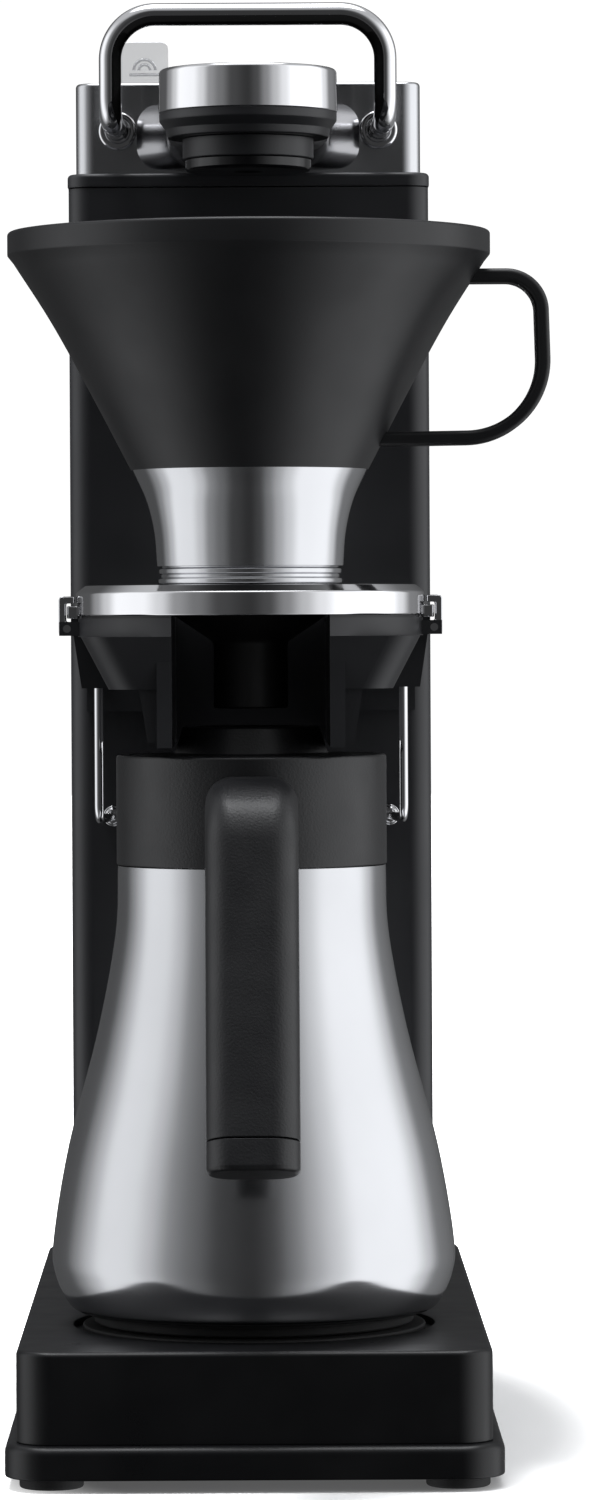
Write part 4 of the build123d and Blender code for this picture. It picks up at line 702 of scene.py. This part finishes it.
def make_carry_handle():
    top, heel = level("carry_handle") - GRIP_R, FLANGE_Z + GRIP_RISE
    stops = [(-FLANGE_X, HOOD_FRONT, FLANGE_Z), (-GRIP_X, GRIP_Y, heel), (-GRIP_X, GRIP_Y, top),
             (GRIP_X, GRIP_Y, top), (GRIP_X, GRIP_Y, heel), (FLANGE_X, HOOD_FRONT, FLANGE_Z)]
    path = soften(stops, [0, GRIP_HEEL, GRIP_CORNER, GRIP_CORNER, GRIP_HEEL, 0], closed=False, steps=20)
    shape = bmesh.new()
    carried(shape, path, circle(GRIP_R), (1, 0, 0))
    piece("carry_handle_fine", "root", "chrome", ["carry_handle"], shape)


def make_handle_flanges():
    shape = bmesh.new()
    outline = softened([(0, 0, 0), (FLANGE_R, 0, 0.2), (FLANGE_R, FLANGE_T, 0.8),
                        (GRIP_R + 0.4, FLANGE_T, 0.3), (GRIP_R + 0.2, FLANGE_DISH, 0), (0, FLANGE_DISH, 0)])
    for x in (-FLANGE_X, FLANGE_X):
        turned(shape, outline, facing(x, HOOD_FRONT, FLANGE_Z, (0, -1, 0)))
    piece("handle_flanges_fine", "root", "chrome", ["handle_flanges"], shape)


def make_nozzle_arm():
    """A flat arm that flares where it leaves the hood."""
    low, high = level("nozzle_arm", top=False), level("nozzle_arm")
    middle, tall = (low + high) / 2, high - low
    stations = []
    for step in range(ARM_STEPS + 1):
        rest = 1 - step / ARM_STEPS
        stations.append((HOOD_FRONT - ARM_BLEND * (1 - rest ** 1.6), ARM_W + 2 * ARM_FLARE * rest ** 2.4))
    stations.append((BREW_Y + ARM_END, ARM_W))
    shape = bmesh.new()
    skinned(shape, [[place(p.x, y, middle + p.y) for p in rounded_loop(wide, tall, ARM_CORNER)]
                    for y, wide in stations])
    arm = piece("nozzle_arm_fine", "root", "stainless_polished", ["nozzle_arm"], shape)
    arm.data.materials[0] = DARKER_SATIN_ARM


def make_nozzle():
    lathe("nozzle_cap_fine", "root", "chrome", ["nozzle_cap"],
          [(0, CAP_LOW, 0), (CAP_R, CAP_LOW, 0.5), (CAP_R - 0.2, CAP_HIGH, 1.1), (0, CAP_HIGH, 0)])
    lathe("nozzle_collar_fine", "root", "column_plastic", ["nozzle_collar"],
          [(0, NOZZLE_STEP, 0), (CAP_R - 2.4, NOZZLE_STEP, 0.6), (CAP_R - 1.8, NOZZLE_STEP + 2.2, 0.5),
           (CAP_R - 0.2, NOZZLE_STEP + 4.4, 0.9), (CAP_R - 0.2, CAP_LOW, 0.2), (0, CAP_LOW, 0)])
    lathe("nozzle_barrel_fine", "root", "column_plastic", ["nozzle_barrel"],
          [(0, NOZZLE_SEAM, 0), (BARREL_R, NOZZLE_SEAM, 0.5), (BARREL_R, NOZZLE_STEP, 0.3),
           (0, NOZZLE_STEP, 0)])
    lathe("nozzle_tip_fine", "root", "gloss_black", ["nozzle_tip"],
          [(0, NOZZLE_LOW + 2.6, 0), (1.2, NOZZLE_LOW + 0.9, 0.2), (4, NOZZLE_LOW, 0.4),
           (TIP_R, NOZZLE_LOW, 1.0), (TIP_R, NOZZLE_SEAM, 0.2), (0, NOZZLE_SEAM, 0)])


# ---- holder ----------------------------------------------------------------------------------------
RING_LOW, RING_HIGH = level("holder_ring", top=False), level("holder_ring")
RING_R, RING_WALL, SOCKET_R = 44.8, 1.6, 20.5
LUG_X, LUG_W, LUG_D, LUG_EDGE = 45.5, 3.2, 6.4, 0.3
FUNNEL_R, FUNNEL_WALL, SPOUT_R = 32.5, 1.5, 9.5
CLASP_X, CLASP_T, CLASP_WALL, CLASP_W, CLASP_BEVEL = 45.2, 4.0, 1.8, 8.0, 0.35
STAY_X, STAY_FOOT_X, STAY_Y, STAY_R, STAY_BEND = 39.9, 36.8, -37.5, 1.2, 4
STAY_LOW, STAY_HIGH = level("stay_rods", top=False) + STAY_R, level("holder_cradle", top=False) + 17.7
FERRULE_R, FERRULE_NECK_R, FERRULE_STEP, FERRULE_LONG = 2.8, 2.2, 1.6, 3.4


def make_ring():
    """The chrome ring, with the lugs that the clasps hook over."""
    inside, under = RING_R - RING_WALL, RING_HIGH - RING_WALL
    shape = bmesh.new()
    turned(shape, softened([(SOCKET_R, under, 0.3), (inside, under, 0.3), (inside, RING_LOW, 0.3),
                            (RING_R, RING_LOW, 0.5), (RING_R, RING_HIGH - 1.9, 0.9),
                            (RING_R - 2.4, RING_HIGH, 0.8), (SOCKET_R, RING_HIGH, 0.5)]))
    for side in (-1, 1):
        skinned(shape, slab_loops(RING_LOW - 0.6, RING_LOW + 2.6, LUG_W, LUG_D, 0.6, BREW_Y,
                                  LUG_EDGE, LUG_EDGE, side * LUG_X))
    piece("holder_ring_fine", "root", "chrome", ["holder_ring"], shape)


def make_funnel():
    top, low = RING_HIGH - RING_WALL, level("drip_funnel", top=False)
    bowl, bore = FUNNEL_R - FUNNEL_WALL, SPOUT_R - FUNNEL_WALL
    lathe("drip_funnel_fine", "root", "inner_plastic", ["drip_funnel"],
          [(FUNNEL_R, top, 0.3), (FUNNEL_R, top - 1.4, 0.3), (19.6, RING_LOW, 2),
           (SPOUT_R, RING_LOW - 6.8, 2), (SPOUT_R, low, 0.6), (bore, low, 0.6), (bore, RING_LOW - 6.2, 2),
           (18, RING_LOW + 0.9, 2), (bowl, top - 0.6, 0.3), (bowl, top, 0.2)])


def make_clasps():
    """Chrome hooks over the ring's lugs, each with its pivot block below."""
    outer, hollow = CLASP_X + CLASP_T, CLASP_X + CLASP_T - CLASP_WALL
    for name, side in (("clasp_left", -1), ("clasp_right", 1)):
        low, high = level(name, top=False), level(name)
        block, roof = low + 2 * CLASP_WALL, high - CLASP_WALL
        section = softened([(CLASP_X, high, 0.5), (outer, high, 1.0), (outer, low, 1.0), (CLASP_X, low, 0.8),
                            (CLASP_X, block, 0.4), (hollow, block, 0.4), (hollow, roof, 0.4),
                            (CLASP_X, roof, 0.4)])
        shape = bmesh.new()
        skinned(shape, [[place(side * p.x, BREW_Y + y, p.y) for p in section]
                        for y in (-CLASP_W / 2, CLASP_W / 2)])
        piece(name + "_fine", name, "chrome", [name], shape, bevel=CLASP_BEVEL)


def make_stays():
    shape, collars = bmesh.new(), bmesh.new()
    outline = softened([(0, 0, 0), (FERRULE_R, 0, 0.1), (FERRULE_R, FERRULE_STEP, 0.4),
                        (FERRULE_NECK_R, FERRULE_STEP, 0.2), (FERRULE_NECK_R, FERRULE_LONG, 0.5),
                        (0, FERRULE_LONG, 0)])
    for side in (-1, 1):
        stops = [(side * STAY_X, STAY_Y, STAY_HIGH), (side * STAY_X, STAY_Y, STAY_LOW),
                 (side * STAY_FOOT_X, COLUMN_FRONT - 1, STAY_LOW)]
        path = soften(stops, [0, STAY_BEND, 0], closed=False, steps=12)
        carried(shape, path, circle(STAY_R, 24), (1, 0, 0))
        turned(collars, outline, facing(side * STAY_FOOT_X, COLUMN_FRONT, STAY_LOW, (0, -1, 0)))
    piece("stay_rods_fine", "root", "chrome", ["stay_rods"], shape)
    piece("stay_ferrules_fine", "root", "chrome", ["stay_ferrules"], collars)


# ---- tank lid --------------------------------------------------------------------------------------
LID_LOW, LID_T, LID_W, LID_R = level("tank_lid", top=False), 4.0, 91.0, 4
LID_FRONT, LID_BACK, LID_LOW_EDGE, LID_HIGH_EDGE = 62.5, 119.3, 0.4, 0.8
TAB_X, TAB_Y, TAB_W, TAB_T, TAB_R, TAB_EDGE, TAB_DRAFT = -28.8, 69.5, 13.2, 3.0, 2.2, 0.4, 0.94
ARCH_DROP, ARCH_RADII, ARCH_WIRE, BAR_HALF, BAR_DROP = 8.2, (1.6, 3.0), 0.42, 4.2, 1.2
HINGE_Y, HINGE_W, HINGE_STRAP = 122.8, 30.0, 1.2


def make_tank_lid():
    shape = bmesh.new()
    middle, half = LID_LOW + LID_T / 2, HINGE_W / 2
    skinned(shape, slab_loops(LID_LOW, LID_LOW + LID_T, LID_W, LID_BACK - LID_FRONT, LID_R,
                              (LID_FRONT + LID_BACK) / 2, LID_LOW_EDGE, LID_HIGH_EDGE))
    turned(shape, softened([(0, -half, 0), (LID_T / 2, -half, 0.3), (LID_T / 2, half, 0.3), (0, half, 0)]),
           facing(0, HINGE_Y, middle, (1, 0, 0)))
    skinned(shape, slab_loops(middle - HINGE_STRAP, middle + HINGE_STRAP, HINGE_W - 1, HINGE_Y - LID_BACK + 1,
                              0.4, (HINGE_Y + LID_BACK) / 2, 0.2, 0.2))
    piece("tank_lid_fine", "tank_lid", "clear_plastic", ["tank_lid"], shape)


def make_tank_tab():
    """The upright thumb tab, with two raised arches over a raised bar moulded on its front."""
    top, low, half = level("tank_lid"), LID_LOW + LID_T, TAB_W / 2
    corners = [(-half, low), (half, low), (half, top), (-half, top)]
    outline = soften(corners, [0.2, 0.2, TAB_R, TAB_R], steps=10)
    shape = bmesh.new()
    layers = ((-TAB_T / 2, TAB_DRAFT), (TAB_EDGE - TAB_T / 2, 1),
              (TAB_T / 2 - TAB_EDGE, 1), (TAB_T / 2, TAB_DRAFT))
    skinned(shape, [[place(TAB_X + p.x * scale, TAB_Y + y, low + (p.y - low) * (1 - (1 - scale) * 0.5))
                     for p in outline] for y, scale in layers])
    front, centre = TAB_Y - TAB_T / 2 - 0.1, top - ARCH_DROP
    for radius in ARCH_RADII:
        arch = [Vector((TAB_X + radius * math.cos(math.pi * k / 24), front,
                        centre + radius * math.sin(math.pi * k / 24))) for k in range(25)]
        carried(shape, arch, circle(ARCH_WIRE, 12), (0, 1, 0))
    bar = [Vector((TAB_X + x, front, centre - BAR_DROP)) for x in (-BAR_HALF, BAR_HALF)]
    carried(shape, bar, circle(ARCH_WIRE, 12), (0, 1, 0))
    piece("tank_tab_fine", "tank_lid", "clear_plastic", ["tank_lid"], shape)


# ---- dripper -----------------------------------------------------------------------------------------
CONE_LOW, CONE_TOP = RING_HIGH + 29.6, level("dripper_cone")
RIM_R, RIM_RISE, RIM_EDGE, CONE_WALL = 62.0, 2, 0.9, 2.4
FLARE = [(30.5, 0), (40.8, 19.8), (50.8, 38.0), (60.4, 53.1)]          # radius, height above the sleeve
SLEEVE = [(24.1, -24.7), (24.8, -16.0), (26.7, -8.0), (30.2, 0)]       # radius, height below the cone
NECK_R, NECK_H, NECK_WALL, OUTLET_R = 22.5, 24.4, 2, 5.0
FOOTING_R, FOOTING_BORE_R = 20.2, 14
LOOP_W, LOOP_T, LOOP_EDGE = 12.0, 3.6, 1.2
LOOP_ROOT, LOOP_TOP_X, LOOP_LOW_X, LOOP_HEEL = 56.6, 74.8, 76.0, 32.9
LOOP_TOP, LOOP_LOW = CONE_TOP - 11.7, CONE_TOP - 53.5


def make_dripper():
    """The cone, its thick rim and the neck inside the sleeve, in one outline."""
    flare = [Vector((r, CONE_LOW + h)) for r, h in curve(FLARE)]
    inner = [Vector((p.x - CONE_WALL, p.y)) for p in flare]
    rim = soften([flare[-1], (RIM_R, flare[-1].y + RIM_RISE), (RIM_R, CONE_TOP), (RIM_R - 2.6, CONE_TOP),
                  inner[-1]], [0, 0.8, RIM_EDGE, RIM_EDGE, 0], closed=False)
    neck_low = CONE_LOW - NECK_H
    neck = [Vector((NECK_R - NECK_WALL, CONE_LOW + 1)), Vector((NECK_R - NECK_WALL, neck_low + NECK_WALL)),
            Vector((OUTLET_R, neck_low + NECK_WALL)), Vector((OUTLET_R, neck_low))]
    outer = [Vector((NECK_R, neck_low)), Vector((NECK_R, CONE_LOW))] + flare
    shape = bmesh.new()
    turned(shape, outer + rim[1:-1] + list(reversed(inner)) + neck)
    piece("dripper_cone_fine", "dripper", "dripper_plastic", ["dripper_cone"], shape)


def make_dripper_sleeve():
    """The flared steel sleeve, and the grooved ring that it stands on."""
    sleeve = [Vector((r, CONE_LOW + h)) for r, h in curve(SLEEVE)]
    low, top, start = level("dripper_base_ring", top=False), sleeve[0].y, RING_HIGH + 0.3
    shape = bmesh.new()
    turned(shape, sleeve + [Vector((NECK_R + 0.1, CONE_LOW)), Vector((NECK_R + 0.1, top))])
    piece("dripper_sleeve_fine", "dripper", "stainless_polished", ["dripper_collar"], shape)
    lathe("dripper_base_ring_fine", "dripper", "stainless_polished", ["dripper_base_ring"],
          [(FOOTING_BORE_R, low, 0.2), (FOOTING_R, low, 0.5), (FOOTING_R, start, 0.2),
           (23.8, start, 0.5), (23.8, start + 1.4, 0.5), (23.1, start + 1.7, 0.1), (23.1, start + 2.4, 0.1),
           (23.6, start + 2.7, 0.4), (23.6, top - 0.7, 0.4), (22.9, top - 0.4, 0.1), (22.9, top, 0.1),
           (FOOTING_BORE_R, top, 0.2)])


def make_dripper_handle():
    stops = [(LOOP_ROOT, BREW_Y, LOOP_TOP), (LOOP_TOP_X, BREW_Y, LOOP_TOP),
             (LOOP_LOW_X, BREW_Y, LOOP_LOW + 0.6), (LOOP_HEEL, BREW_Y, LOOP_LOW)]
    path = soften(stops, [0, 11, 20, 0], closed=False, steps=24)
    shape = bmesh.new()
    carried(shape, path, box_section(LOOP_W, LOOP_T, LOOP_EDGE), (0, 1, 0))
    piece("dripper_handle_fine", "dripper", "dripper_plastic", ["dripper_handle"], shape)


# ---- carafe --------------------------------------------------------------------------------------------
CARAFE_BASE, CARAFE_WALL, FOOT_IN, FOOT_OUT = level("carafe_foot"), 1, 35, 41
BULGE = [(42.0, 0), (47.2, 2.3), (51.0, 10.2), (51.4, 19.3), (47.4, 42.9), (39.7, 72.5), (35.1, 97.4),
         (34.4, 114.7)]                                                # radius, height above the foot
COLLAR_R, COLLAR_H, COLLAR_BORE_R, LEDGE_R, LEDGE_DEPTH = 34.7, 28.4, 31.3, 28, 2.8
HANDLE_W, HANDLE_T, HANDLE_ROUND, HANDLE_UP, HANDLE_DROP = 23.2, 15.0, 6.8, 16, 72.5
HANDLE_OUT, HANDLE_END, HANDLE_ELBOW = 57, 81, 12
SEAM, SEAM_GROOVE, SEAM_INSET, END_EDGE = 8, 0.15, 0.25, 1.4
SHOULDER = CARAFE_BASE + BULGE[-1][1]
COLLAR_TOP = SHOULDER + COLLAR_H
KNOB_TOP = level("carafe_lid_knob")
LID_DISC_R, LID_NECK_R, PLUG_R, LID_UNDER, LID_HOLE_R = 31, 27.7, 24, 2.5, 6


def make_carafe_body():
    bulge = [Vector((r, CARAFE_BASE + h)) for r, h in curve(BULGE)]
    floor = CARAFE_BASE + CARAFE_WALL
    inner = [Vector((p.x - CARAFE_WALL, max(p.y, floor))) for p in bulge]
    shape = bmesh.new()
    turned(shape, [Vector((0, CARAFE_BASE))] + bulge + list(reversed(inner)) + [Vector((0, floor))])
    piece("carafe_body_fine", "carafe", "stainless", ["carafe_shell"], shape)
    low = level("carafe_foot", top=False)
    lathe("carafe_foot_fine", "carafe", "rubber", ["carafe_foot"],
          [(FOOT_IN, low, 0.5), (FOOT_OUT, low, 0.7), (FOOT_OUT, CARAFE_BASE, 0.1),
           (FOOT_IN, CARAFE_BASE, 0.1)])


def make_carafe_collar():
    low, ledge = SHOULDER + 0.2, COLLAR_TOP - LEDGE_DEPTH
    lathe("carafe_collar_fine", "carafe", "grip_plastic", ["carafe_collar"],
          [(31, low, 0.2), (COLLAR_R, low, 0.5), (COLLAR_R, COLLAR_TOP, 0.9),
           (COLLAR_BORE_R, COLLAR_TOP, 0.3), (COLLAR_BORE_R, ledge, 0.2), (LEDGE_R, ledge, 0.2),
           (LEDGE_R, SHOULDER + 6, 0.2)])


def make_carafe_handle():
    """The handle from the collar, out, down and further out, and its cap below a fine seam."""
    start = Vector((0, BREW_Y - COLLAR_R + 1.5, SHOULDER + HANDLE_UP))
    elbow = Vector((0, BREW_Y - HANDLE_OUT, SHOULDER + HANDLE_UP))
    end = Vector((0, BREW_Y - HANDLE_END, SHOULDER - HANDLE_DROP))
    run = (end - elbow).normalized()
    seam = end - run * SEAM
    section = box_section(HANDLE_W, HANDLE_T, HANDLE_ROUND)
    path = soften([start, elbow, seam - run * SEAM_GROOVE], [0, HANDLE_ELBOW, 0], closed=False, steps=20)
    shape = bmesh.new()
    carried(shape, path, section, (1, 0, 0))
    piece("carafe_handle_fine", "carafe", "grip_plastic", ["carafe_handle"], shape, bevel=0.3)
    side, other = Vector((1, 0, 0)), run.cross(Vector((1, 0, 0)))
    turns = [math.pi / 2 * k / 6 for k in range(7)]
    stations = [(SEAM_GROOVE, SEAM_INSET), (0.4, 0)]
    stations += [(SEAM - END_EDGE * (1 - math.sin(a)), END_EDGE * (1 - math.cos(a))) for a in turns]
    loops = []
    for along, inset in stations:
        centre = seam + run * along
        wide, deep = 1 - inset / (HANDLE_W / 2), 1 - inset / (HANDLE_T / 2)
        loops.append([place(*(centre + side * p.x * wide + other * p.y * deep)) for p in section])
    cap = bmesh.new()
    skinned(cap, loops)
    piece("carafe_handle_cap_fine", "carafe", "grip_plastic", ["carafe_handle_cap"], cap)


def make_carafe_lid():
    low, under = level("carafe_lid", top=False), COLLAR_TOP - LID_UNDER
    step, hollow = KNOB_TOP - 1, COLLAR_TOP - 4
    lathe("carafe_lid_fine", "carafe_lid", "grip_plastic", ["carafe_lid", "carafe_lid_knob"],
          [(LID_HOLE_R, hollow, 0.3), (LID_HOLE_R, step, 0.3), (14.5, step, 0.4), (16, KNOB_TOP, 0.3),
           (17.5, KNOB_TOP, 1.0), (19.8, COLLAR_TOP, 0.8), (LID_DISC_R, COLLAR_TOP, 0.5),
           (LID_DISC_R, under, 0.2), (LID_NECK_R, under, 0.2), (LID_NECK_R, low, 0.5), (PLUG_R, low, 0.5),
           (PLUG_R, hollow, 0.5)])


make_camera()
make_stage()
finish_cad_nodes()
make_base_plate()
make_base_housing()
make_rest_pad()
make_feet()
make_column()
make_column_cap()
make_hood()
make_carry_handle()
make_handle_flanges()
make_nozzle_arm()
make_nozzle()
make_ring()
make_funnel()
make_clasps()
make_stays()
make_tank_lid()
make_tank_tab()
make_dripper()
make_dripper_sleeve()
make_dripper_handle()
make_carafe_body()
make_carafe_collar()
make_carafe_handle()
make_carafe_lid()
